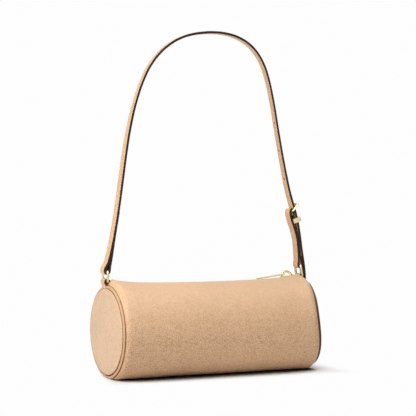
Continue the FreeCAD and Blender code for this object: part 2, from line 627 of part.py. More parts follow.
left_corner = over(-0.728, 0.688)
climb = unit(left_bar, left_corner)
fold = eye_corners(left_bar, climb, 3.6 * strap_radius, strap_leg, strap_radius, 3 * strap_radius)
turnup = move(move(left_bar, climb, size("strap_turnup")), left_of(climb), -strap_leg)
shoulder = move(left_corner, left_of(climb), strap_leg)
beside_heel = upper_radius + chape_wall / 2 + size("tail_gap") + strap_layer
beside_chape = half_fold + chape_wall + size("tail_gap") + strap_layer
beside_eye = lower_radius + chape_wall / 2 + 2 * size("tail_gap") + strap_layer
entry = (heel[0] + 1.3, heel[1] + 12.0, 14)
passing = move(heel, outward, beside_heel + size("tail_gap")) + (14,)
along_chape = move(middle, outward, beside_chape + size("tail_gap")) + (25,)
past_eye = (lower[0] + beside_eye, lower[1] + 3.0, 20)
tail_end = (past_eye[0] + 1.0, ring_top - size("tail_drop"), 0)
arch = [fold[0], shoulder, over(-0.540, 0.8796), over(-0.222, 0.9924), over(0.228, 1.0016), over(0.513, 0.952),
        over(0.667, 0.8308), entry]
arch_shares = (0.429, 0.543, 0.418, 0.541, 0.389, 0.515)
arch_bends = [eased(*arch[index:index + 3], share) for index, share in enumerate(arch_shares)]
strap_path = [turnup + (0,)] + fold[::-1] + arch_bends + [entry, passing, along_chape, past_eye, tail_end]


def crossing(point, direction, start, end):
    # Where a line through a point meets the line through two others.
    run = unit(start, end)
    wide = direction[0] * run[1] - direction[1] * run[0]
    step = ((start[0] - point[0]) * run[1] - (start[1] - point[1]) * run[0]) / wide
    return move(point, direction, step)


pierced = crossing(heel, prong_axis, entry, passing)
pitch = size("hole_pitch")
ahead = unit(entry, strap_path[-6])
first_run = math.hypot(entry[0] - pierced[0], entry[1] - pierced[1])
holes = [across_bar(move(entry, ahead, count * pitch - first_run), left_of(ahead), size("hole_radius"), 12)
         for count in (1, 2, 3)]
behind = unit(passing, along_chape)
tail_run = math.hypot(passing[0] - pierced[0], passing[1] - pierced[1])
hole_depth = 2 * (strap_layer + size("tail_gap"))
holes.append(across_bar(move(passing, behind, pitch - tail_run), left_of(behind), size("hole_radius"), hole_depth))
holes.append(across_bar(pierced, prong_axis, size("prong_hole_radius"), 8))
for name, low, high in (("strap_face", 0, strap_layer), ("strap_backing", -strap_layer, 0)):
    layer = strip_solid(strap_path, low, high, size("strap_width")).cut(Part.makeCompound(holes))
    keep(put(feature(name, layer), "0", TOP_Y, "0"))

keeper = doc.addObject("PartDesign::Body", "keeper")
section = new_sketch(keeper, "KeeperOutline", "XY_Plane")
inner_low = "-(fold_gap / 2 + chape_wall + keeper_play)"
inner_high = "fold_gap / 2 + chape_wall + 2 * strap_layer + 3.2 * tail_gap + 4 * keeper_play"
inner_wide = "(strap_width / 2 + keeper_play)"
add_rectangle(section, "inner", (inner_low, inner_high), ("-" + inner_wide, inner_wide))
add_rectangle(section, "outer", (inner_low + " - keeper_wall", inner_high + " + keeper_wall"),
              ("-%s - keeper_wall" % inner_wide, "%s + keeper_wall" % inner_wide))
add_pad(keeper, "KeeperPad", section, "keeper_height", True)
station = move(heel, falling, size("keeper_station"))
keeper_angle = -math.degrees(math.atan2(falling[0], -falling[1]))
keeper.Placement = FreeCAD.Placement(V(station[0], 0, station[1]), FreeCAD.Rotation(V(0, 1, 0), keeper_angle))
bind(keeper, Placement__Base__y=TOP_Y)
keep(keeper)

doc.recompute()
os.makedirs("parts", exist_ok=True)
for item in doc.Objects:
    if "Invalid" in item.State or "Error" in item.State:
        raise RuntimeError("not built: " + item.Name)
for item in nodes:
    if item.Shape.isNull() or not item.Shape.isValid():
        raise RuntimeError("bad solid: " + item.Label)
    item.Shape.exportStep("parts/%s.step" % item.Label)
    print(item.Label, len(item.Shape.Solids), round(item.Shape.Volume, 1))
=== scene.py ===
from math import atan2, cos, exp, hypot, pi, radians, sin, sqrt

import bmesh
import bpy
from mathutils import Matrix, Vector, noise


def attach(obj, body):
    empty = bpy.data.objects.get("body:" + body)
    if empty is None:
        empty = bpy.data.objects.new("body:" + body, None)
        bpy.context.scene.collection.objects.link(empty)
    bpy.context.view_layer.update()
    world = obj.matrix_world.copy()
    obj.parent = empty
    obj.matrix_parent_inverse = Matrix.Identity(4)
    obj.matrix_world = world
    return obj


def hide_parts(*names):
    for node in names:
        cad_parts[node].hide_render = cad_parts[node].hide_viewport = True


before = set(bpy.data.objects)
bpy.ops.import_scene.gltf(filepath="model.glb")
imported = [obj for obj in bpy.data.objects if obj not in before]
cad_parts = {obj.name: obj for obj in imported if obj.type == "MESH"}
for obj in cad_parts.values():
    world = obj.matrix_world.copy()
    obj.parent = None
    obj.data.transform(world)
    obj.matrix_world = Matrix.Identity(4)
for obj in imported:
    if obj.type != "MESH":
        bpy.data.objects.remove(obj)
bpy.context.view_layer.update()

mm = 0.001

barrel = {
    "radius": 51.0, "axis": 48.0,  # mm, the bag lies on a flattened underside
    "straight": 106.7,  # half length, up to the shoulders
    "roll": radians(8), "strapPlane": 7.098,
    "sagHalf": 105.0, "sagEnd": (106.0, 113.0), "sink": 3.15,  # the roof sinks between the ends
    "flank": 0.4, "flankFrom": (10.0, 60.0),  # less so on both sides of the middle
    "lift": 1.0, "tug": 1.3,  # and is drawn up at the tabs
    "endDrop": 0.7,  # the round ends sit a little lower than the middle
    "yaw": 0.0105, "softFrom": (50.0, 107.0),  # the left end turns a little
    "giveIn": 6.7, "narrow": 2.4, "giveAt": radians(76),  # the right one gives way at its upper front
    "paintedShadeDarkTo": 62.0, "paintedShadeTo": 82.0,  # heights up to which the painted shade in the seams is dark, and painted at all
}
ends = ((-1, "left"), (1, "right"))
rollTurn = Matrix.Rotation(-barrel["roll"], 4, "X")
rolled = Matrix.Translation((0, 0, barrel["axis"] * mm)) @ rollTurn


# handling

def clearSelection():
    if bpy.context.object and bpy.context.object.mode != "OBJECT":
        bpy.ops.object.mode_set(mode="OBJECT")
    bpy.ops.object.select_all(action="DESELECT")


def takeUp(piece):
    clearSelection()
    piece.select_set(True)
    bpy.context.view_layer.objects.active = piece


def started(name):  # the primitive just added becomes a named piece
    piece = bpy.context.object
    piece.name = piece.data.name = name
    bpy.ops.object.transform_apply(location=True, rotation=True, scale=True)
    return piece


def made(name, add, **settings):
    clearSelection()
    add(**settings)
    return started(name)


def block(name):  # a cube of 1 mm
    return made(name, bpy.ops.mesh.primitive_cube_add, size=mm)


def openEdit(piece):
    takeUp(piece)
    bpy.ops.object.mode_set(mode="EDIT")


def closeEdit():
    bpy.ops.object.mode_set(mode="OBJECT")


def extruded(*way):
    bpy.ops.mesh.extrude_region_move(TRANSFORM_OT_translate={"value": [step * mm for step in way]})


def pick(piece, kind, test):  # selects faces, edges or corners by place and direction
    bpy.ops.mesh.select_mode(type=kind)
    bpy.ops.mesh.select_all(action="DESELECT")
    mesh = bmesh.from_edit_mesh(piece.data)
    mesh.normal_update()
    for part in {"FACE": mesh.faces, "EDGE": mesh.edges, "VERT": mesh.verts}[kind]:
        if kind == "EDGE":
            first, last = (corner.co for corner in part.verts)
            spot, way = (first + last) / 2, (last - first).normalized()
        else:
            spot, way = part.calc_center_median() if kind == "FACE" else part.co, part.normal
        if test(spot / mm, way):
            part.select_set(True)
    mesh.select_flush_mode()
    bmesh.update_edit_mesh(piece.data)


def tidyNormals(piece):
    openEdit(piece)
    bpy.ops.mesh.select_all(action="SELECT")
    bpy.ops.mesh.remove_doubles(threshold=0.000004)
    bpy.ops.mesh.normals_make_consistent(inside=False)
    closeEdit()


def worked(piece, kind, **settings):  # one modifier, set and applied
    takeUp(piece)
    step = piece.modifiers.new(kind.title(), kind)
    for key, value in settings.items():
        setattr(step, key, value)
    bpy.ops.object.modifier_apply(modifier=step.name)


def rounded(piece, width, segments=2, angle=35):
    worked(piece, "BEVEL", width=width * mm, segments=segments, limit_method="ANGLE",
           angle_limit=radians(angle), use_clamp_overlap=True, harden_normals=False)


def moulded(piece, place):  # every corner goes where place(x, y, z) says, in mm
    for corner in piece.data.vertices:
        x, y, z = corner.co / mm
        corner.co = Vector(place(x, y, z)) * mm
    piece.data.update()


def joined(pieces, name):
    clearSelection()
    for piece in pieces:
        piece.select_set(True)
    first = bpy.context.view_layer.objects.active = pieces[0]
    if len(pieces) > 1:
        bpy.ops.object.join()
    first.name = first.data.name = name
    return first


def scattered(master, name, places):  # copies of one model, joined up
    copies = []
    for place in places:
        copy = bpy.data.objects.new(name, master.data.copy())
        copy.data.transform(place)
        bpy.context.collection.objects.link(copy)
        copies.append(copy)
    bpy.data.objects.remove(master)
    return joined(copies, name)


def cutWith(piece, cutter, how="DIFFERENCE"):
    worked(piece, "BOOLEAN", operation=how, object=cutter, solver="EXACT")
    bpy.data.objects.remove(cutter)


def completed(piece, finishes, angle, body, slotName, *nodes, choose=None):
    piece.data.materials.clear()
    for finish in finishes:
        piece.data.materials.append(finish)
    for face in piece.data.polygons:  # choose(place, normal, corners) says which finish a face has
        face.material_index = choose(face.center / mm, face.normal, len(face.vertices)) if choose else 0
    takeUp(piece)
    bpy.ops.object.shade_smooth_by_angle(angle=radians(angle))
    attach(piece, body)
    if nodes:  # the CAD pieces it stands for
        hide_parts(*nodes)


def inPlane(point):  # x and z alone
    return Vector((point[0], 0, point[1]))


def ease(value, low, high):
    share = min(1.0, max(0.0, (value - low) / (high - low)))
    return share * share * (3 - 2 * share)


# finishes

def tone(*levels):  # red, green, blue
    return tuple(((c / 255 + 0.055) / 1.055) ** 2.4 if c > 10 else c / 3294.6 for c in levels) + (1.0,)


def newFinish(name):
    finish = bpy.data.materials.new(name)
    finish.use_nodes = True
    tree = finish.node_tree
    return finish, tree, tree.nodes["Principled BSDF"]


def feed(tree, node, sockets):  # links or plain values
    for socket, value in sockets.items():
        if isinstance(value, bpy.types.NodeSocket):
            tree.links.new(value, node.inputs[socket])
        else:
            node.inputs[socket].default_value = value
    return node


def wire(tree, kind, sockets, **settings):
    node = tree.nodes.new(kind)
    for key, value in settings.items():
        setattr(node, key, value)
    return feed(tree, node, sockets)


def ramp(tree, source, stops):
    node = tree.nodes.new("ShaderNodeValToRGB")
    marks = node.color_ramp.elements
    while len(marks) < len(stops):
        marks.new(0.5)
    for mark, (place, colour) in zip(marks, stops):
        mark.position = place
        mark.color = colour
    tree.links.new(source, node.inputs["Fac"])
    return node.outputs["Color"]


def shade(colour, share):
    return tuple(c * share for c in colour[:3]) + (1.0,)


def blended(tree, share, first, second, how="MIX"):
    return wire(tree, "ShaderNodeMix", {0: share, 6: first, 7: second}, data_type="RGBA", blend_type=how).outputs[2]


def spread(tree, source, low, high, toLow, toHigh):
    return wire(tree, "ShaderNodeMapRange", {"Value": source, "From Min": low, "From Max": high,
                                             "To Min": toLow, "To Max": toHigh}).outputs["Result"]


def objectPlace(tree):
    return tree.nodes.new("ShaderNodeTexCoord").outputs["Object"]


def clouds(tree, place, scale, detail, rough=0.5):
    return wire(tree, "ShaderNodeTexNoise", {"Vector": place, "Scale": scale, "Detail": detail,
                                             "Roughness": rough}).outputs["Fac"]


def raised(tree, height, strength, distance, **more):
    return wire(tree, "ShaderNodeBump", {"Height": height, "Strength": strength, "Distance": distance,
                                         **more}).outputs[0]


def tinted(tree, source, colour, dark, light, low=0.3, high=0.7):
    return ramp(tree, source, [(low, shade(colour, dark)), (high, shade(colour, light))])


def pebbledLeather(name, colour, cell, grain, rough=0.52, fadesUp=False):
    finish, tree, skin = newFinish(name)
    place = objectPlace(tree)
    drift = wire(tree, "ShaderNodeTexNoise", {"Vector": place, "Scale": 420.0, "Detail": 2.0})
    bent = wire(tree, "ShaderNodeVectorMath", {0: drift.outputs["Color"], 1: (0.5, 0.5, 0.5)}, operation="SUBTRACT")
    bent = wire(tree, "ShaderNodeVectorMath", {0: bent.outputs[0], "Scale": 0.0011}, operation="SCALE")
    bent = wire(tree, "ShaderNodeVectorMath", {0: place, 1: bent.outputs[0]}, operation="ADD")
    pebbles = wire(tree, "ShaderNodeTexVoronoi", {"Vector": bent.outputs[0], "Scale": 1000.0 / cell},
                   feature="DISTANCE_TO_EDGE")
    crease = spread(tree, pebbles.outputs["Distance"], 0.0, 0.26, 0.0, 1.0)
    mottle = clouds(tree, place, 190.0, 4.0, 0.65)
    base = tinted(tree, clouds(tree, place, 16.0, 3.0), colour, 0.95, 1.04)
    patches = ramp(tree, mottle, [(0.3, (0.93, 0.92, 0.91, 1)), (0.65, (1.02, 1.02, 1.02, 1))])
    base = blended(tree, 1.0, base, patches, "MULTIPLY")
    depth, dark = grain, 0.5
    if fadesUp:  # the grain is firmest low on the barrel, and its creases are darker there, in part painted shade
        height = wire(tree, "ShaderNodeSeparateXYZ", {"Vector": place}).outputs["Z"]
        depth = spread(tree, height, 0.05, 0.088, grain, grain * 0.4)
        dark = spread(tree, height, 0.04, 0.088, 0.9, 0.2)
    # darker creases: partly the grain's own colour, partly painted shade in its hollows
    lines = ramp(tree, crease, [(0.0, (0.6, 0.52, 0.45, 1)), (0.8, (1.0, 1.0, 1.0, 1))])
    base = blended(tree, dark, base, blended(tree, 1.0, base, lines, "MULTIPLY"))
    pores = spread(tree, clouds(tree, place, 1500.0, 2.0), 0.3, 0.7, -0.12, 0.12)
    rise = wire(tree, "ShaderNodeMath", {0: crease, 1: pores}, operation="ADD").outputs[0]
    grained = raised(tree, rise, depth, 0.00016)
    feed(tree, skin, {"Base Color": base, "Normal": raised(tree, mottle, 0.35, 0.0004, Normal=grained),
                      "Roughness": spread(tree, mottle, 0.3, 0.7, rough - 0.06, rough + 0.08),
                      "Specular IOR Level": 0.32, "Sheen Weight": 0.06, "Sheen Roughness": 0.5})
    return finish


def brushedPaintAndShade(name, colour, rough):  # edge paint, and painted shade in seams and gaps, on leather, a little uneven
    finish, tree, skin = newFinish(name)
    wear = clouds(tree, objectPlace(tree), 240.0, 4.0)
    feed(tree, skin, {"Base Color": tinted(tree, wear, colour, 0.8, 1.25, 0.32, 0.68),
                      "Roughness": spread(tree, wear, 0.3, 0.7, rough - 0.08, rough + 0.14),
                      "Normal": raised(tree, wear, 0.4, 0.0003), "Specular IOR Level": 0.25})
    return finish


def platedMetal(name, colour, rough):
    finish, tree, skin = newFinish(name)
    place = objectPlace(tree)
    haze = clouds(tree, place, 130.0, 5.0)
    feed(tree, skin, {"Base Color": tinted(tree, haze, colour, 0.93, 1.03), "Metallic": 1.0,
                      "Roughness": spread(tree, haze, 0.3, 0.7, rough - 0.05, rough + 0.08),
                      "Normal": raised(tree, clouds(tree, place, 900.0, 3.0), 0.12, 0.0001)})
    return finish


def wovenCloth(name, colour, pitch, turn):
    finish, tree, skin = newFinish(name)
    place = objectPlace(tree)
    laid = wire(tree, "ShaderNodeMapping", {"Vector": place, "Rotation": (0.0, 0.0, turn)}).outputs[0]
    threads = {"Vector": laid, "Scale": 1000.0 / pitch / 20, "Distortion": 0.6, "Detail": 1.0}
    warp, weft = (wire(tree, "ShaderNodeTexWave", threads, bands_direction=way).outputs["Fac"] for way in "XY")
    weave = wire(tree, "ShaderNodeMath", {0: warp, 1: weft}, operation="MULTIPLY").outputs[0]
    patches = ramp(tree, clouds(tree, place, 60.0, 4.0), [(0.3, (0.9, 0.9, 0.9, 1)), (0.7, (1.04, 1.04, 1.04, 1))])
    base = blended(tree, 1.0, tinted(tree, weave, colour, 0.72, 1.06, 0.0, 0.8), patches, "MULTIPLY")
    feed(tree, skin, {"Base Color": base, "Normal": raised(tree, weave, 0.5, 0.0002),
                      "Roughness": 0.85, "Sheen Weight": 0.15})
    return finish


def pressedFibre(name, colour, size=300.0, rough=0.9):
    finish, tree, skin = newFinish(name)
    fibre = clouds(tree, objectPlace(tree), size, 6.0, 0.7)
    feed(tree, skin, {"Base Color": tinted(tree, fibre, colour, 0.82, 1.08), "Roughness": rough,
                      "Normal": raised(tree, fibre, 0.4, 0.0002)})
    return finish


bodyHide = pebbledLeather("bodyHide", tone(226, 187, 149), cell=2.0, fadesUp=True, grain=0.8)
endHide = pebbledLeather("endHide", tone(229, 195, 161), cell=1.9, grain=0.5)
weltHide = pebbledLeather("weltHide", tone(216, 178, 144), cell=1.1, grain=0.22)
tabHide = pebbledLeather("tabHide", tone(226, 187, 147), cell=1.1, grain=0.25)
strapHide = pebbledLeather("strapHide", tone(232, 191, 147), cell=1.1, grain=0.25, rough=0.48)
insideHide = pebbledLeather("insideHide", tone(186, 150, 118), cell=0.7, grain=0.2, rough=0.8)
# the real dark paint of the cut edges, also used as painted shade between strap layers
edgePaintAndShade = brushedPaintAndShade("edgePaintAndShade", tone(46, 27, 20), rough=0.6)
# painted shade: the dark line in the seams beside the welts
paintedGrooveShade = brushedPaintAndShade("paintedGrooveShade", tone(130, 84, 46), rough=0.6)
# paler painted shade: the line at the disc rims, and the seams higher up
paintedRimShade = brushedPaintAndShade("paintedRimShade", tone(158, 108, 66), rough=0.6)
# deepest painted shade, on the right welt in the shade of the right end
paintedDeepShade = brushedPaintAndShade("paintedDeepShade", tone(92, 60, 38), rough=0.7)
paleGold = platedMetal("paleGold", tone(230, 212, 166), rough=0.16)
zipBrass = platedMetal("zipBrass", tone(206, 184, 136), rough=0.26)
tapeWeave = wovenCloth("tapeWeave", tone(168, 132, 100), pitch=0.55, turn=radians(45))
liningTwill = wovenCloth("liningTwill", tone(206, 190, 168), pitch=0.8, turn=radians(30))
feltPad = pressedFibre("feltPad", tone(228, 224, 214))
greyBoard = pressedFibre("greyBoard", tone(150, 138, 124), size=480.0)
cottonCord = wovenCloth("cottonCord", tone(226, 216, 198), pitch=0.7, turn=radians(25))
thread = pressedFibre("thread", tone(214, 184, 150), size=900.0, rough=0.7)
print("finishes mixed")


# the barrel

def sinkAt(x):  # how far the roof hangs below the round, in mm
    reach = min(1.06, abs(x) / barrel["sagHalf"])
    drop = barrel["sink"] * (1 - reach ** 4) - barrel["lift"] * reach ** 8
    return (drop - barrel["flank"] * ease(abs(x), *barrel["flankFrom"])) * (1 - ease(abs(x), *barrel["sagEnd"]))


def unevenness(x, angle):
    probe = Vector((x / 46.0, 1.25 * cos(angle), 1.25 * sin(angle)))
    small = Vector((x / 17.0, 3.1 * cos(angle), 3.1 * sin(angle)))
    return 0.62 * noise.noise(probe) + 0.2 * noise.noise(small)


def givenWay(x, y, z):  # how the two ends of the soft barrel stand
    axis, radius = barrel["axis"], barrel["radius"]
    if x < 0:
        return x + barrel["yaw"] * y * ease(-x, *barrel["softFrom"]), y, z
    turn = atan2(-y, z - axis) - barrel["giveAt"]
    soft = cos(1.2 * turn) ** 2 * ease(x, *barrel["softFrom"]) if abs(turn) < radians(75) else 0.0
    share = 1 - barrel["narrow"] * soft / radius
    return x - barrel["giveIn"] * soft * hypot(y, z - axis) / radius, y * share, axis + (z - axis) * share


def settled(x, y, z):  # a point of the round barrel, as the soft skin really lies
    height = z - barrel["axis"]
    angle = atan2(y, height)
    reach = hypot(y, height)
    fromZip = angle - barrel["roll"]
    free = 1 - ease(abs(x), 96.0, 110.0)
    roof = max(0.0, cos(fromZip * 1.15)) ** 1.5 if abs(fromZip) < 1.36 else 0.0
    nearZip = ease(abs(fromZip), 0.16, 0.5)
    reach -= sinkAt(x) * roof
    reach += unevenness(x, angle) * free * nearZip
    reach += barrel["tug"] * exp(-((abs(x) - 108.5) / 4.0) ** 2 - (fromZip / 0.2) ** 2)
    y, height = reach * sin(angle), reach * cos(angle)
    z = height + barrel["axis"] - barrel["endDrop"] * ease(abs(x), 98.0, 112.0)
    z = 0.5 * (z + sqrt(z * z + 2.2)) - 0.1  # pressed flat on the ground
    return givenWay(x, y, max(z, 0.0))


def onRoof(x, across, lift=0.0):  # a place beside the zip: mm along, across, above the outer skin
    reach = barrel["radius"] + lift
    angle = across / barrel["radius"]
    point = rolled @ (Vector((x, reach * sin(angle), reach * cos(angle))) * mm)
    return Vector(settled(*(point / mm)))


def skinShell(name, spec):  # one wrapped panel with turned shoulders and a zip window
    piece = made(name, bpy.ops.mesh.primitive_cylinder_add, vertices=spec["sides"], radius=spec["radius"] * mm,
                 depth=2 * barrel["straight"] * mm, end_fill_type="NOTHING", rotation=(0, pi / 2, 0))
    piece.data.transform(rolled)
    openEdit(piece)
    pick(piece, "EDGE", lambda middle, along: abs(along.x) > 0.9)
    bpy.ops.mesh.subdivide(number_cuts=spec["rows"])
    axisPoint = (0, 0, barrel["axis"] * mm)
    for side in (-1, 1):
        edge = side * barrel["straight"]
        pick(piece, "EDGE", lambda middle, along: abs(middle.x - edge) < 0.05 and abs(along.x) < 0.5)
        lastX, lastR = barrel["straight"], spec["radius"]
        for x, r in spec["profile"]:
            extruded(side * (x - lastX), 0, 0)
            bpy.ops.transform.resize(value=(1, r / lastR, r / lastR), center_override=axisPoint)
            lastX, lastR = x, r
    unroll = rolled.inverted()
    pick(piece, "FACE", lambda middle, normal: middle.z > barrel["axis"] and any(
        abs(middle.x) < end and abs((unroll @ (middle * mm)).y / mm) < half for end, half in spec["window"]))
    bpy.ops.mesh.delete(type="FACE")
    closeEdit()
    moulded(piece, settled)
    tidyNormals(piece)
    worked(piece, "SOLIDIFY", thickness=spec["wall"] * mm, offset=-1.0, use_even_offset=spec["even"])
    return piece


def shoulderProfile(along, inward, radius, face, opening, steps):
    profile = [(face - along, radius)]
    for step in range(1, steps + 1):
        turn = step / steps * pi / 2
        profile.append((face - along + along * sin(turn), radius - inward + inward * cos(turn)))
    x, reach = profile[-1]
    while reach > opening + 0.05:
        reach = max(opening, reach - 2.2)
        profile.append((x, reach))
    return profile


bodySkin = {"sides": 160, "radius": barrel["radius"], "rows": 110, "wall": 1.6, "even": True,
            "window": [(barrel["straight"], 6.0), (111.3, 4.0)],  # half length and width, then the slot to the seam
            "profile": shoulderProfile(6.3, 4.5, barrel["radius"], 113.5, 38.0, 9)}
barrelSkin = skinShell("barrel_skin", bodySkin)
rounded(barrelSkin, 0.35, 2, 60)


def skinPart(middle, normal, corners):  # grain side, flesh side, and painted shade on the turn at the seams, paler higher up
    if (middle - Vector((middle.x, 0, barrel["axis"]))).dot(normal) < -1:
        return 1
    if abs(normal.x) > 0.86 and abs(middle.x) > 95:
        return 2 if middle.z < barrel["paintedShadeDarkTo"] else 3
    return 0


completed(barrelSkin, [bodyHide, insideHide, paintedGrooveShade, paintedRimShade], 50,
          "bag", "body_leather", "body_panel", choose=skinPart)

padShell = {"sides": 96, "radius": 49.3, "rows": 40, "wall": 0.9, "even": False,
            "window": [(barrel["straight"], 12.6), (111.3, 3.6)],
            "profile": shoulderProfile(4.9, 4.9, 49.3, 111.85, 40.0, 4)}
completed(skinShell("barrel_pad", padShell), [feltPad], 50, "bag", "interlining", "interlining")

innerShell = {"sides": 96, "radius": 48.2, "rows": 40, "wall": 0.5, "even": False,
              "window": [(barrel["straight"], 11.0), (111.3, 3.6)],
              "profile": shoulderProfile(3.9, 3.9, 48.2, 110.9, 40.0, 4)}
completed(skinShell("inner_sleeve", innerShell), [liningTwill], 50, "bag", "lining", "lining_sleeve")
print("barrel wrapped")


# ends and welts

endDisc = {"radius": 44.4, "back": 113.6, "wall": 1.35, "drop": 0.2, "slack": 0.35,
           "insets": [(0.15, 0.35), (0.4, 0.4), (0.9, 0.35), (2.2, 0.3), (5.5, 0.3),
                      (8.0, 0.15), (9.0, 0.08), (8.0, 0.04), (5.0, 0.0)]}
stiffBoard = {"radius": 41.0, "back": 110.95, "wall": 0.8,
              "insets": [(0.2, 0.2), (5.8, 0.0), (10.0, 0.0), (12.0, 0.0), (6.0, 0.0)]}
innerDisc = {"radius": 41.0, "back": 110.4, "wall": 0.45,
             "insets": [(6.0, 0.0), (10.0, 0.03), (12.0, 0.0), (6.0, 0.0)]}


def atEnd(x, y, z, drop=barrel["endDrop"]):  # end pieces follow the settled ends
    x, y, z = givenWay(x, y, z)
    return x, y, max(z - drop, 0.05)


def roundPanel(name, side, spec):  # a round of leather, its face built up ring by ring
    piece = made(name, bpy.ops.mesh.primitive_circle_add, vertices=120, radius=spec["radius"] * mm, fill_type="NGON",
                 rotation=(0, side * pi / 2, 0), location=(side * spec["back"] * mm, 0, barrel["axis"] * mm))
    openEdit(piece)
    bpy.ops.mesh.select_all(action="SELECT")
    extruded(side * spec["wall"], 0, 0)
    for thickness, depth in spec["insets"]:
        bpy.ops.mesh.inset(thickness=thickness * mm, depth=depth * mm)
    bpy.ops.mesh.poke()
    closeEdit()
    tidyNormals(piece)
    return piece


for side, word in ends:
    panel = roundPanel("end_disc_" + word, side, endDisc)
    worked(panel, "SUBSURF", levels=1, render_levels=1, subdivision_type="SIMPLE")

    def slack(x, y, z):  # the face is not quite even
        inside = max(0.0, 1 - hypot(y, z - barrel["axis"]) / 42.0) ** 0.5
        wave = noise.noise(Vector((y / 19 + 4 * side, z / 19, 2.0)))
        return atEnd(x + side * endDisc["slack"] * inside * wave, y, z, endDisc["drop"])

    moulded(panel, slack)
    # the disc's rim takes painted shade, the dark line where it meets the welt
    completed(panel, [endHide, paintedRimShade], 50, "bag", "end_leather", "end_panel_" + word,
              choose=lambda middle, normal, corners: 1 if abs(normal.x) < 0.78 else 0)
    for name, spec, finish, slotName, node in (("inner_end_", innerDisc, liningTwill, "lining", "lining_end_"),
                                               ("stiff_board_", stiffBoard, greyBoard, "board", "end_board_")):
        backer = roundPanel(name + word, side, spec)
        moulded(backer, lambda x, y, z: atEnd(x, y, z, 0.0))
        completed(backer, [finish], 50, "bag", slotName, node + word)

piping = {"ring": 46.0, "tube": 1.4, "place": 114.05, "back": 113.55, "core": 0.75, "corePlace": 114.5,
          "proud": 1.2,  # the right welt peeps out in front
          "pucker": 0.04, "stitches": 88}


def hoop(name, segments, sides, tube, place):
    return made(name, bpy.ops.mesh.primitive_torus_add, major_segments=segments, minor_segments=sides,
                major_radius=piping["ring"] * mm, minor_radius=tube * mm,
                rotation=(0, pi / 2, 0), location=(place * mm, 0, barrel["axis"] * mm))


for side, word in ends:
    axis, ring = barrel["axis"], piping["ring"]
    welt = hoop("welt_roll_" + word, 264, 20, piping["tube"], side * piping["place"])

    def puckered(x, y, z):  # drawn in a touch at every stitch, flat where it is sewn on
        turn, reach = atan2(y, z - axis), hypot(y, z - axis)
        wave = 0.09 * noise.noise(Vector((y / 9, z / 9, side * 3.0)))
        share = (reach + (piping["pucker"] * cos(turn * piping["stitches"]) + wave)) / reach
        x += piping["proud"] * max(0.0, -y / ring) * (1 - ease(z, 74.0, 94.0)) if side > 0 else 0.0
        return atEnd(side * max(side * x, piping["back"]), y * share, axis + (z - axis) * share)

    def weltPart(middle, normal, corners):  # painted shade on the side towards the body, deepest on the right; on the left paler higher up, none at the top
        if side > 0:
            return 1 if normal.x < 0.45 else 0
        if normal.x < -0.1 or middle.z > barrel["paintedShadeTo"]:
            return 0
        return 1 if middle.z < barrel["paintedShadeDarkTo"] else 2

    moulded(welt, puckered)
    tidyNormals(welt)
    completed(welt, [weltHide, paintedDeepShade if side > 0 else paintedGrooveShade, paintedRimShade], 60,
              "bag", "welt_leather", "welt_cover_" + word, choose=weltPart)

    middleX = side * piping["corePlace"]
    core = hoop("welt_core_" + word, 160, 10, piping["core"], middleX)

    def twisted(x, y, z):  # a laid cord of three strands
        turn, reach = atan2(y, z - axis), hypot(y, z - axis)
        swell = 1 - 0.1 * abs(sin(1.5 * atan2(x - middleX, reach - ring) + 60 * turn))
        share = (ring + (reach - ring) * swell) / reach
        return atEnd(middleX + (x - middleX) * swell, y * share, axis + (z - axis) * share)

    moulded(core, twisted)
    completed(core, [cottonCord], 60, "bag", "welt_cord", "welt_cord_" + word)
print("ends and welts set")


# zip

zipper = {
    "tapeHalf": 110.6, "tapeLift": -1.95, "tapeWall": 0.75,
    "inner": 2.45, "outer": 14.0, "hinge": 6.9,  # across: the sewn tapes, and where they are cut back
    "deeper": 1.3, "deeperFrom": (88.0, 104.0),  # towards its two ends
    "flapWest": -73.0, "flapEast": 90.0, "flapGap": 0.6, "flapNear": 2.15, "flapFar": 7.4,
    "flapDip": 1.35, "flapLean": 0.45,  # low enough to slip under the sewn tape
    "pitch": 2.8, "toothLength": 1.2, "toothHeight": 2.2, "toothLift": -2.0,
    "shutLeft": (-104.9, -72.9), "shutRight": (90.0, 98.0),
}


def channel(x):
    return zipper["deeper"] * ease(abs(x), *zipper["deeperFrom"])


def besideFlap(along, across):
    west, east = zipper["flapWest"] - zipper["flapGap"], zipper["flapEast"] + zipper["flapGap"]
    return across < zipper["hinge"] and west < along < east


def tapeStrip(name, west, east, near, far, sign, rows, cut=None, dip=0.0):
    piece = made(name, bpy.ops.mesh.primitive_grid_add, x_subdivisions=int(round(east - west)),
                 y_subdivisions=rows, size=2 * mm)

    def onTape(x, y):  # from the plain grid to mm along and across
        return west + (x + 1) / 2 * (east - west), near + (y + 1) / 2 * (far - near)

    def laid(x, y, z):
        along, across = onTape(x, y)
        bead = 0.25 * (1 - ease(across, 2.4, 3.4)) - dip * ease(across, 2.2, 2.85)
        return onRoof(along, sign * across, zipper["tapeLift"] + bead - channel(along) * (1 - ease(across, 5.0, 8.0)))

    if cut:
        openEdit(piece)
        pick(piece, "FACE", lambda middle, normal: cut(*onTape(middle.x, middle.y)))
        bpy.ops.mesh.delete(type="FACE")
        closeEdit()
    moulded(piece, laid)
    tidyNormals(piece)
    worked(piece, "SOLIDIFY", thickness=zipper["tapeWall"] * mm, offset=0.0)
    return piece


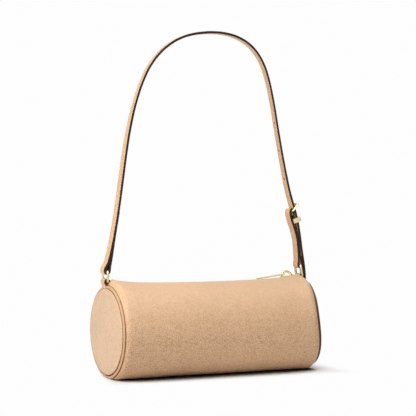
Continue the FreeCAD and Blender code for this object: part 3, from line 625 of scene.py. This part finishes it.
for sign, word in ((-1, "front"), (1, "back")):
    tape = tapeStrip("tape_" + word, -zipper["tapeHalf"], zipper["tapeHalf"],
                     zipper["inner"], zipper["outer"], sign, 15, cut=besideFlap)
    completed(tape, [tapeWeave], 50, "bag", "zip_tape", "zip_tape_" + word)
    lip = tapeStrip("tape_lip_" + word, zipper["flapWest"], zipper["flapEast"], zipper["flapNear"], zipper["flapFar"],
                    sign, 7, dip=zipper["flapDip"] + zipper["flapLean"] * sign)
    completed(lip, [tapeWeave], 50, "zip_" + word, "zip_tape", "zip_flap_" + word)


def zipTooth():  # one cast tooth: a clamp on the tape, a narrow neck, a rounded head
    tooth = block("tooth")
    moulded(tooth, lambda x, y, z: (x * zipper["toothLength"], y * 1.5 - 1.6, z * zipper["toothHeight"]))
    openEdit(tooth)
    pick(tooth, "FACE", lambda middle, normal: normal.y > 0.9)
    bpy.ops.transform.resize(value=(0.8, 1, 0.8))
    for reach, wide, tall in ((0.7, 1.15, 1.05), (0.6, 0.7, 0.7)):
        extruded(0, reach, 0)
        bpy.ops.transform.resize(value=(wide, 1, tall))
    closeEdit()
    return tooth


def inChannel(x, across):  # a place on the line of the teeth, leaning with the zip
    spot = onRoof(x, across, zipper["toothLift"] - channel(x))
    return Matrix.Translation(spot * mm) @ rollTurn


def toothRow(name, span, signs, body, node):
    places, half = [], zipper["toothLength"] / 2
    for sign in signs:
        for step in range(-40, 41):
            x = zipper["pitch"] * (step + 0.25 * sign)
            if span[0] <= x - half and x + half <= span[1]:
                places.append(inChannel(x, 0.0) @ Matrix.Rotation(0 if sign < 0 else pi, 4, "Z"))
    completed(scattered(zipTooth(), name, places), [zipBrass], 30, body, "zip_metal", node)


toothRow("teeth_front", (zipper["flapWest"], zipper["flapEast"]), (-1,), "zip_front", "zip_teeth_front")
toothRow("teeth_back", (zipper["flapWest"], zipper["flapEast"]), (1,), "zip_back", "zip_teeth_back")
toothRow("teeth_shut_left", zipper["shutLeft"], (-1, 1), "bag", "zip_end_teeth_left")
toothRow("teeth_shut_right", zipper["shutRight"], (-1, 1), "bag", "zip_end_teeth_right")

stopCrimp = {"long": 1.6, "tall": 1.9, "place": 105.7}


def zipStop(name, x, pieces, node):  # stops crimped over the tape ends
    crimps = []
    for middle, width in pieces:
        crimp = block(name)
        crimp.scale = (stopCrimp["long"], width, stopCrimp["tall"])
        bpy.ops.object.transform_apply(location=False, rotation=False, scale=True)
        openEdit(crimp)
        pick(crimp, "FACE", lambda spot, normal: normal.z > 0.9)
        bpy.ops.mesh.inset(thickness=0.3 * mm, depth=0.12 * mm)
        closeEdit()
        crimp.data.transform(inChannel(x, middle))
        rounded(crimp, 0.2)
        crimps.append(crimp)
    completed(joined(crimps, name), [zipBrass], 40, "bag", "zip_metal", node)


zipStop("crimp_left", -stopCrimp["place"], [(0.0, 4.8)], "zip_bottom_stop")
zipStop("crimps_right", stopCrimp["place"], [(-1.35, 2.1), (1.35, 2.1)], "zip_top_stops")
print("zip laid")

sliderCast = {"west": 91.5, "east": 104.5, "halfWide": 4.5, "top": 51.35, "bottom": 46.65, "plate": 1.05,
              "post": (102.0, 49.0), "postRadius": 1.5, "postTall": 3.4}


def castPlate(name, low, high):  # a shield shaped plate: wide mouth, narrow tail
    west, east = sliderCast["west"], sliderCast["east"]
    plate = block(name)
    moulded(plate, lambda x, y, z: (west + (x + 0.5) * (east - west), y * 2 * sliderCast["halfWide"],
                                    low + (z + 0.5) * (high - low)))
    openEdit(plate)
    pick(plate, "EDGE", lambda middle, along: abs(along.y) > 0.9)
    bpy.ops.mesh.subdivide(number_cuts=1)
    pick(plate, "EDGE", lambda middle, along: abs(along.x) > 0.9)
    bpy.ops.mesh.subdivide(number_cuts=3)
    pick(plate, "VERT", lambda spot, normal: spot.x < west + 0.5)
    bpy.ops.transform.resize(value=(1, 0.72, 1))
    pick(plate, "VERT", lambda spot, normal: west + 2.5 < spot.x < west + 4.0)
    bpy.ops.transform.resize(value=(1, 0.86, 1))
    pick(plate, "VERT", lambda spot, normal: spot.x > east - 0.5 and abs(spot.y) < 0.5)
    bpy.ops.transform.translate(value=(-1.3 * mm, 0, 0))
    pick(plate, "VERT", lambda spot, normal: spot.x > east - 0.5)
    bpy.ops.transform.resize(value=(1, 0.84, 1))
    closeEdit()
    return plate


upper = castPlate("slider_cast", sliderCast["top"] - sliderCast["plate"], sliderCast["top"])
lower = castPlate("slider_under", sliderCast["bottom"], sliderCast["bottom"] + sliderCast["plate"])
postX, postZ = sliderCast["post"]
divider = made("slider_divider", bpy.ops.mesh.primitive_cylinder_add, vertices=24,  # it parts the two rows
               radius=sliderCast["postRadius"] * mm, depth=sliderCast["postTall"] * mm,
               location=(postX * mm, 0, postZ * mm))
openEdit(divider)
pick(divider, "VERT", lambda spot, normal: spot.x < postX - 0.4)
bpy.ops.transform.resize(value=(1.6, 0.7, 1), center_override=(postX * mm, 0, postZ * mm))
closeEdit()
cutWith(upper, divider, "UNION")
cutWith(upper, lower, "UNION")
upper.data.transform(rolled)
tidyNormals(upper)
rounded(upper, 0.28, 3, 40)
completed(upper, [paleGold], 40, "slider", "hardware", "slider_body")


def sectionRing(thick, width, crown, corner):  # a round wire, or a flat strip with rounded corners
    half, wide = thick / 2, width / 2
    if corner >= half:
        return [(half * cos(turn * pi / 8), wide * sin(turn * pi / 8)) for turn in range(16)]
    ring = []
    for sx, sy, start in ((1, -1, -90), (1, 1, 0), (-1, 1, 90), (-1, -1, 180)):
        for turn in (0, 45, 90):
            angle = radians(start + turn)
            ring.append((sx * (half - corner) + corner * cos(angle), sy * (wide - corner) + corner * sin(angle)))
        if sx * sy < 0:  # a slight crown across the face
            for share in (-0.6, -0.3, 0.0, 0.3, 0.6):
                ring.append((sx * (half + crown * (1 - share * share)), share * sx * wide))
    return ring


def flatStrip(name, path, thick, width, closed=False, crown=0.0, corner=0.3, steps=5):
    clearSelection()
    bpy.ops.curve.primitive_bezier_curve_add()
    run = bpy.context.object
    run.data.dimensions = "2D"
    run.data.fill_mode = "NONE"
    run.data.resolution_u = steps
    line = run.data.splines[0]
    line.bezier_points.add(len(path) - len(line.bezier_points))
    for point, (x, z) in zip(line.bezier_points, path):
        point.co = (x * mm, z * mm, 0)
        point.handle_left_type = point.handle_right_type = "AUTO"
    line.use_cyclic_u = closed
    section = bpy.data.curves.new(name + "Section", "CURVE")
    outline = section.splines.new("POLY")
    ring = sectionRing(thick, width, crown, corner)
    outline.points.add(len(ring) - 1)
    for point, (x, y) in zip(outline.points, ring):
        point.co = (x * mm, y * mm, 0, 1)
    outline.use_cyclic_u = True
    shape = bpy.data.objects.new(name + "Section", section)
    bpy.context.collection.objects.link(shape)
    run.data.bevel_mode = "OBJECT"
    run.data.bevel_object = shape
    run.data.use_fill_caps = not closed
    takeUp(run)
    bpy.ops.object.convert(target="MESH")
    bpy.data.objects.remove(shape)
    bpy.context.object.rotation_euler = (pi / 2, 0, 0)
    piece = started(name)
    tidyNormals(piece)
    return piece


bailArch = {"path": [(92.7, 50.9), (92.5, 53.0), (93.3, 55.0), (95.2, 56.0), (97.8, 56.1),
                     (100.2, 55.4), (102.3, 53.9), (103.4, 52.4), (103.7, 50.9)],
            "thick": 2.0, "wide": 2.4}
bail = flatStrip("bail_arch", bailArch["path"], bailArch["thick"], bailArch["wide"], corner=0.9)
bail.data.transform(rolled)
completed(bail, [paleGold], 50, "slider", "hardware", "slider_bail")

pullBar = {"pivot": (94.4, 53.3), "slope": radians(7.0), "wide": 5.2, "thick": 1.9,
           "head": 0.1, "length": 33.1, "tip": -32.5, "waist": (-30.8, -5.5),  # along the bar, from its hinge
           "eye": (3.2, 3.1, 4.0), "eyeHead": -0.75}
pull = block("pull_bar")
moulded(pull, lambda x, y, z: (pullBar["head"] - (0.5 - x) * pullBar["length"],
                               y * pullBar["wide"], z * pullBar["thick"]))
openEdit(pull)
pick(pull, "EDGE", lambda middle, along: abs(along.x) > 0.9)
bpy.ops.mesh.subdivide(number_cuts=11)
pick(pull, "VERT", lambda spot, normal: spot.x < pullBar["tip"])
bpy.ops.transform.resize(value=(1, 0.82, 0.75))
pick(pull, "VERT", lambda spot, normal: pullBar["waist"][0] < spot.x < pullBar["waist"][1])
bpy.ops.transform.resize(value=(1, 0.94, 1.0))
pick(pull, "EDGE", lambda middle, along: abs(along.z) > 0.9 and middle.x < pullBar["tip"])
bpy.ops.mesh.bevel(offset=1.2 * mm, segments=4, affect="EDGES")
closeEdit()
eye = block("eye_cut")
long, wide, deep = pullBar["eye"]
moulded(eye, lambda x, y, z: (pullBar["eyeHead"] - (0.5 - x) * long, y * wide, z * deep))
cutWith(pull, eye)
tidyNormals(pull)
rounded(pull, 0.4, 3, 40)
pull.data.transform(rolled @ Matrix.Translation(inPlane(pullBar["pivot"]) * mm)
                    @ Matrix.Rotation(-pullBar["slope"], 4, "Y"))
completed(pull, [paleGold], 40, "pull", "hardware", "zip_pull")
print("slider and pull set")


# tabs, strap, chape, keeper

def arc(centre, radius, start, end, count):
    turns = [radians(start + (end - start) * step / count) for step in range(count + 1)]
    return [(centre[0] + radius * cos(turn), centre[1] + radius * sin(turn)) for turn in turns]


def cutEdge(middle, normal, corners):  # the long cut edges and the cut ends
    return 1 if abs(normal.y) > 0.3 or corners > 5 else 0


def onStrapPlane(piece):
    piece.data.transform(Matrix.Translation((0, barrel["strapPlane"] * mm, 0)))


tabLoop = {"eye": (113.568, 98.4), "reach": {"left": 2.4, "right": 2.05}, "wall": {"left": 2.0, "right": 1.5},
           "wide": 10.5, "outer": [(114.45, 91.6), (114.45, 94.2)], "inner": [(112.6, 94.2), (112.6, 91.6)]}
for side, word in ends:
    path = tabLoop["outer"] + arc(tabLoop["eye"], tabLoop["reach"][word], -45, 225, 12) + tabLoop["inner"]
    loop = flatStrip("tab_loop_" + word, [(side * x, z) for x, z in path], tabLoop["wall"][word], tabLoop["wide"],
                     crown=0.05, corner=0.25)
    onStrapPlane(loop)
    completed(loop, [tabHide, edgePaintAndShade], 45, "bag", "tab_leather", "tab_" + word, choose=cutEdge)

ringWire = {"wide": 13.4, "wire": 2.6, "corner": 2.4, "foot": tabLoop["eye"],
            "head": {"left": (-113.6, 109.6), "right": (111.8, 110.2)}}
for side, word in ends:
    foot = inPlane((side * ringWire["foot"][0], ringWire["foot"][1]))
    head = inPlane(ringWire["head"][word])
    tall, wide, bend = (head - foot).length, ringWire["wide"] / 2, ringWire["corner"]
    path = []
    for across, up, start in ((1, 1, 0), (-1, 1, 90), (-1, 0, 180), (1, 0, 270)):
        path += arc((across * (wide - bend), bend + up * (tall - 2 * bend)), bend, start, start + 90, 4)
    ring = flatStrip("oblong_ring_" + word, path, ringWire["wire"], ringWire["wire"], closed=True, corner=9.0, steps=3)
    lean = atan2(head.x - foot.x, head.z - foot.z)
    ring.data.transform(Matrix.Translation((foot.x * mm, barrel["strapPlane"] * mm, foot.z * mm))
                        @ Matrix.Rotation(lean, 4, "Y") @ Matrix.Rotation(pi / 2, 4, "Z"))
    completed(ring, [paleGold], 60, "ring_" + word, "hardware", "ring_" + word)

strapRun = {
    "thick": 2.5, "wide": 10.5, "loop": 2.58,
    "turn": 0.14, "turnLeft": (200.0, 310.0), "turnRight": (140.0, 250.0),  # the bow turns between these heights
    "foldPared": (110.0, 152.0), "tailPared": (104.0, 114.0), "tip": 94.9,
    "fold": [(-98.8, 170.0), (-100.6, 160.0), (-102.4, 150.0), (-104.4, 140.0), (-106.6, 130.0), (-108.6, 121.5),
             (-110.2, 115.5)],
    "rise": [(-115.4, 112.9), (-113.4, 116.0), (-111.6, 120.5), (-108.2, 133.4), (-105.2, 147.2), (-100.3, 174.8),
             (-96.2, 202.6), (-92.1, 230.4), (-87.0, 257.9), (-79.9, 285.1), (-69.7, 311.2), (-62.7, 323.2),
             (-53.8, 334.0)],
    "over": [(-43.1, 343.1), (-31.0, 350.1), (-17.8, 354.7), (-4.0, 357.2), (9.8, 358.1), (23.6, 357.2),
             (37.0, 354.0), (49.2, 348.0), (59.3, 339.2), (67.0, 327.9), (72.4, 315.2)],
    "fall": [(79.4, 288.0), (84.6, 260.5), (89.9, 232.9), (95.7, 205.4), (98.9, 191.7), (102.7, 178.9),
             (105.5, 170.2), (107.9, 161.3), (109.9, 152.2), (112.1, 139.2), (114.0, 126.1), (116.2, 113.1),
             (117.7, 101.0), (118.0, 94.8)],
}
strapPath = (strapRun["fold"] + arc(ringWire["head"]["left"], strapRun["loop"], 0, -180, 8)
             + strapRun["rise"] + strapRun["over"] + strapRun["fall"])
strap = flatStrip("shoulder_strap", strapPath, strapRun["thick"], strapRun["wide"], crown=0.06, corner=0.22, steps=7)
onStrapPlane(strap)


def runAt(run, height):  # where a run of the strap is at that height, and which way it goes
    for (x1, z1), (x2, z2) in zip(run, run[1:]):
        if min(z1, z2) <= height <= max(z1, z2):
            share = (z1 - height) / (z1 - z2)
            return x1 + share * (x2 - x1), inPlane((x2 - x1, z2 - z1)).normalized()


def skived(x, y, z):  # the tail and the turned back end are pared thin towards their tips
    if x > 100 and z < strapRun["tailPared"][1] and x < runAt(strapRun["fall"], max(z, strapRun["tip"]))[0]:
        return x + 1.0 - ease(z, *strapRun["tailPared"]), y, z
    if x > 0 or not 118.0 < z < 172.0:
        return x, y, z
    face = runAt(strapRun["rise"], z)[0] + strapRun["thick"] / 2 + 0.05
    over = x - face
    return (face + over * (1 - 0.9 * ease(z, *strapRun["foldPared"])), y, z) if over > 0.15 else (x, y, z)


def bowed(x, y, z):
    share = ease(z, *strapRun["turnRight" if x > 0 else "turnLeft"])
    return x + strapRun["turn"] * (y - barrel["strapPlane"]) * share, y, z


def strapPart(middle, normal, corners):  # edge paint on the edges and the cut end; painted shade on the tail's inner face and inside the doubled lower end
    if abs(normal.y) > 0.3 or middle.z < 95.0 or (middle.x > 100 and middle.z < 120 and normal.x < -0.3):
        return 1
    if middle.x > 0 or middle.z > 166.0:
        return 0
    if middle.z < 118.0:
        headX, headZ = ringWire["head"]["left"]
        return 1 if (Vector((headX, middle.y, headZ)) - middle).dot(normal) > 0 else 0
    aside = middle.x - runAt(strapRun["rise"], middle.z)[0]
    return 1 if aside > 0.9 and (normal.x < -0.5 or aside < 1.4) else 0


holes = {"heights": [264.0, 234.0, 204.0, 171.5, 142.0], "radius": 1.1, "deep": 8.0}
moulded(strap, skived)
for height in holes["heights"]:
    x, along = runAt(strapRun["over"][-1:] + strapRun["fall"], height)
    cutWith(strap, made("punch", bpy.ops.mesh.primitive_cylinder_add, vertices=24,
                        radius=holes["radius"] * mm, depth=holes["deep"] * mm,
                        location=(x * mm, barrel["strapPlane"] * mm, height * mm),
                        rotation=(0, atan2(-along.z, along.x), 0)))
moulded(strap, bowed)
completed(strap, [strapHide, edgePaintAndShade], 45, "strap", "strap_leather", "strap_face", "strap_backing", choose=strapPart)

chapeLoop = {"wall": 1.95, "wide": 10.4, "heel": (101.768, 168.848), "heelBend": 2.0, "ringBend": 2.2,
             "inner": [(110.1, 116.5), (109.8, 123.0), (108.9, 132.6), (108.0, 139.2), (106.3, 145.7),
                       (104.0, 152.2), (101.5, 158.7), (99.8, 165.0)],
             "outer": [(103.6, 164.6), (104.5, 159.8), (106.1, 152.9), (108.2, 146.4), (109.9, 139.7),
                       (111.0, 131.0), (111.7, 122.0), (113.0, 115.0)]}
chapePath = (chapeLoop["inner"] + arc(chapeLoop["heel"], chapeLoop["heelBend"], 170, -10, 6)
             + chapeLoop["outer"] + arc(ringWire["head"]["right"], chapeLoop["ringBend"], 20, -185, 8))
chape = flatStrip("buckle_chape", chapePath, chapeLoop["wall"], chapeLoop["wide"],
                  closed=True, crown=0.05, corner=0.22)
onStrapPlane(chape)


def chapePart(middle, normal, corners):  # edge paint on the edges; painted shade where the lays face each other
    if abs(normal.y) > 0.3:
        return 1
    if not 116.6 < middle.z < 164.5:
        return 0
    near, far = runAt(chapeLoop["inner"], middle.z)[0], runAt(chapeLoop["outer"], middle.z)[0]
    return 1 if ((near + far) / 2 - middle.x) * normal.x > 0.4 else 0


completed(chape, [strapHide, edgePaintAndShade], 45, "strap", "strap_leather", "chape", choose=chapePart)

keeperBand = {"station": (104.5, 158.1), "low": -1.4, "high": 8.0, "tall": 5.0, "halfWide": 6.35, "wall": 0.8,
              "outward": (0.954, 0.2995), "up": (-0.2995, 0.954)}
low, high = keeperBand["low"], keeperBand["high"]
band = block("keeper_band")
moulded(band, lambda x, y, z: (low + (x + 0.5) * (high - low), y * 2 * keeperBand["halfWide"], z * keeperBand["tall"]))
openEdit(band)
pick(band, "FACE", lambda middle, normal: abs(normal.z) > 0.9)
bpy.ops.mesh.delete(type="ONLY_FACE")
pick(band, "EDGE", lambda middle, along: abs(along.z) > 0.9)
bpy.ops.mesh.bevel(offset=0.9 * mm, segments=4, affect="EDGES")
closeEdit()
worked(band, "SOLIDIFY", thickness=keeperBand["wall"] * mm, offset=-1.0, use_even_offset=True)
rounded(band, 0.22, 3, 50)
stand = Matrix((inPlane(keeperBand["outward"]), Vector((0, 1, 0)), inPlane(keeperBand["up"]))).transposed().to_4x4()
band.data.transform(Matrix.Translation(inPlane(keeperBand["station"]) * mm) @ stand)
onStrapPlane(band)
tidyNormals(band)
completed(band, [paleGold], 40, "strap", "hardware", "keeper")
print("strap hung")


# stitching

def stitchMaster(length, thick):  # one sunk stitch, a little fatter in the middle
    stitch = made("stitch", bpy.ops.mesh.primitive_cylinder_add, vertices=6, radius=thick / 2 * mm,
                  depth=length * mm, rotation=(0, pi / 2, 0))
    openEdit(stitch)
    pick(stitch, "EDGE", lambda middle, along: abs(along.x) > 0.9)
    bpy.ops.mesh.subdivide(number_cuts=2)
    pick(stitch, "VERT", lambda spot, normal: abs(spot.x) > length * 0.4)
    bpy.ops.transform.resize(value=(1, 0.45, 0.45))
    bpy.ops.transform.translate(value=(0, 0, -thick * 0.3 * mm))
    closeEdit()
    return stitch


def standing(spot, along, up):  # a frame with x along the row and z out of the leather
    along = along.normalized()
    side = up.cross(along).normalized()
    up = along.cross(side)
    return Matrix.Translation(spot * mm) @ Matrix((along, side, up)).transposed().to_4x4()


def sewn(name, spec, places, body, slotName):
    stitches = scattered(stitchMaster(spec["length"], spec["thick"]), name, places)
    completed(stitches, [thread], 60, body, slotName)


zipStitch = {"across": 8.4, "pitch": 3.2, "count": 32, "length": 2.3, "thick": 0.6, "lift": -0.12}


def onSeam(x, across):
    return onRoof(x, across, zipStitch["lift"])


places = []
for sign in (-1, 1):
    across = sign * zipStitch["across"]
    for step in range(-zipStitch["count"], zipStitch["count"] + 1):
        x = step * zipStitch["pitch"]
        ahead = onSeam(x + 1, across) - onSeam(x - 1, across)
        aside = onSeam(x, across + 0.5) - onSeam(x, across - 0.5)
        places.append(standing(onSeam(x, across), ahead, ahead.cross(aside)))
sewn("zip_stitching", zipStitch, places, "bag", "body_leather")

crossStitch = {  # rows of four across the strap: where, and out of which face
    "pitch": 2.6, "length": 2.0, "thick": 0.6, "proud": 0.02,
    "rows": {"fold_stitching": [((-114.42, 115.62), (-0.936, -0.35)), ((-108.54, 118.08), (0.966, 0.258))],
             "chape_stitching": [((109.05, 121.0), (-0.999, -0.05)), ((104.05, 149.71), (-0.94, -0.33))]},
}
for name, rows in crossStitch["rows"].items():
    places = []
    for (x, z), out in rows:
        for step in (-1.5, -0.5, 0.5, 1.5):
            spot = Vector((x, barrel["strapPlane"] + step * crossStitch["pitch"], z))
            places.append(standing(spot + crossStitch["proud"] * inPlane(out), Vector((0, 1, 0)), inPlane(out)))
    sewn(name, crossStitch, places, "strap", "strap_leather")
print("stitching done")


# pieces kept from the CAD

for nodeName in ("buckle_frame", "buckle_prong"):
    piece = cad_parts[nodeName]
    piece.data.materials.clear()
    piece.data.materials.append(paleGold)


# floor, light, camera

def seenRays(tree):  # 1 for what the camera sees, straight, mirrored or through glass
    rays = tree.nodes.new("ShaderNodeLightPath")
    seen = rays.outputs["Is Camera Ray"]
    for kind in ("Is Glossy Ray", "Is Transmission Ray"):
        seen = wire(tree, "ShaderNodeMath", {0: seen, 1: rays.outputs[kind]}, operation="MAXIMUM").outputs[0]
    return rays.outputs["Is Camera Ray"], seen


def aimed(name, data, spot, target):
    stand = bpy.data.objects.new(name, data)
    bpy.context.collection.objects.link(stand)
    stand.location = spot
    stand.rotation_mode = "QUATERNION"
    stand.rotation_quaternion = (Vector(target) - Vector(spot)).to_track_quat("-Z", "Y")
    return stand


studio = {"white": 0.985, "dim": 0.12}  # how bright floor and sky look, and how little the sky lights
paleFloor = {"size": 12, "tone": (0.9, 0.9, 0.9, 1), "slant": -0.35,
             "shade": (0.015, 0.015, 0.015, 1), "shadeReach": 0.1,  # painted contact shadow right under the bag, seen by the camera alone
             "edges": [("slant", -0.106, -0.122), ("X", 0.115, 0.15), ("Y", -0.045, -0.07), ("Y", 0.045, 0.07)]}
floor = made("floor", bpy.ops.mesh.primitive_plane_add, size=paleFloor["size"], location=(0, 0, 0))
paper, tree, skin = newFinish("paleFloor")
# painted contact shadow: the floor's colour darkens where the bag is near, from ambient occlusion; only camera rays
# see it, bounce light meets the plain floor
under = wire(tree, "ShaderNodeAmbientOcclusion", {"Distance": paleFloor["shadeReach"]}, samples=8)
under = ramp(tree, under.outputs["AO"], [(0.3, paleFloor["shade"]), (0.56, paleFloor["tone"])])
place = wire(tree, "ShaderNodeSeparateXYZ", {"Vector": objectPlace(tree)}).outputs
ways = {"X": place["X"], "Y": place["Y"]}
ways["slant"] = wire(tree, "ShaderNodeMath", {0: ways["Y"], 1: paleFloor["slant"], 2: ways["X"]},
                     operation="MULTIPLY_ADD").outputs[0]
clear = 0.0  # away from the bag the floor turns plain white
for way, low, high in paleFloor["edges"]:
    fade = wire(tree, "ShaderNodeMapRange", {"Value": ways[way], "From Min": low, "From Max": high},
                interpolation_type="SMOOTHSTEP").outputs["Result"]
    clear = wire(tree, "ShaderNodeMath", {0: clear, 1: fade}, operation="MAXIMUM").outputs[0]
direct, seen = seenRays(tree)
feed(tree, skin, {"Base Color": blended(tree, direct, paleFloor["tone"], under),
                  "Roughness": 0.9, "Specular IOR Level": 0.1})
share = wire(tree, "ShaderNodeMath", {0: seen, 1: clear}, operation="MULTIPLY").outputs[0]
glow = wire(tree, "ShaderNodeEmission", {"Color": (1, 1, 1, 1), "Strength": studio["white"]}).outputs[0]
mix = wire(tree, "ShaderNodeMixShader", {0: share, 1: skin.outputs[0], 2: glow}).outputs[0]
feed(tree, tree.nodes["Material Output"], {"Surface": mix})
floor.data.materials.append(paper)

world = bpy.data.worlds.new("studio")
bpy.context.scene.world = world
world.use_nodes = True
sky = world.node_tree
strength = spread(sky, seenRays(sky)[1], 0.0, 1.0, studio["dim"], studio["white"])
feed(sky, sky.nodes["Background"], {"Color": (1, 1, 1, 1), "Strength": strength})

lamps = [("key", (-0.45, -0.85, 1.35), (0.0, 0.0, 0.1), 1.2, 18.0),  # place, target, size, watts
         ("overhead", (0.3, 0.0, 1.65), (0.0, 0.0, 0.1), 1.2, 9.0),
         ("leftFill", (-0.8, -0.12, 0.35), (-0.1, 0.0, 0.08), 0.5, 2.95)]
for name, spot, target, size, watts in lamps:
    lamp = bpy.data.lights.new(name, "AREA")
    lamp.size = size
    lamp.energy = watts
    aimed(name, lamp, spot, target).visible_camera = False

darkCard = {"spot": (1.4, -0.1, 0.3), "target": (0, 0, 0.1), "size": 2.0}  # only mirrored, for contrast in the metal
card, tree, skin = newFinish("darkCard")
feed(tree, skin, {"Base Color": (0.03, 0.03, 0.03, 1), "Roughness": 1.0})
facing = (Vector(darkCard["target"]) - Vector(darkCard["spot"])).to_track_quat("Z", "Y").to_euler()
flag = made("flag", bpy.ops.mesh.primitive_plane_add, size=darkCard["size"],
            location=darkCard["spot"], rotation=facing)
flag.data.materials.append(card)
flag.visible_camera = flag.visible_diffuse = flag.visible_shadow = False

shot = {"eye": (-0.73287, -1.5097, 0.20775), "target": (-0.00011, 0.0, 0.1732), "lens": 138.15, "sensor": 36}
camera = bpy.data.cameras.new("camera")
camera.lens = shot["lens"]
camera.sensor_width = shot["sensor"]
bpy.context.scene.camera = aimed("camera", camera, shot["eye"], shot["target"])
bpy.context.scene.view_settings.view_transform = "Standard"
print("studio lit")
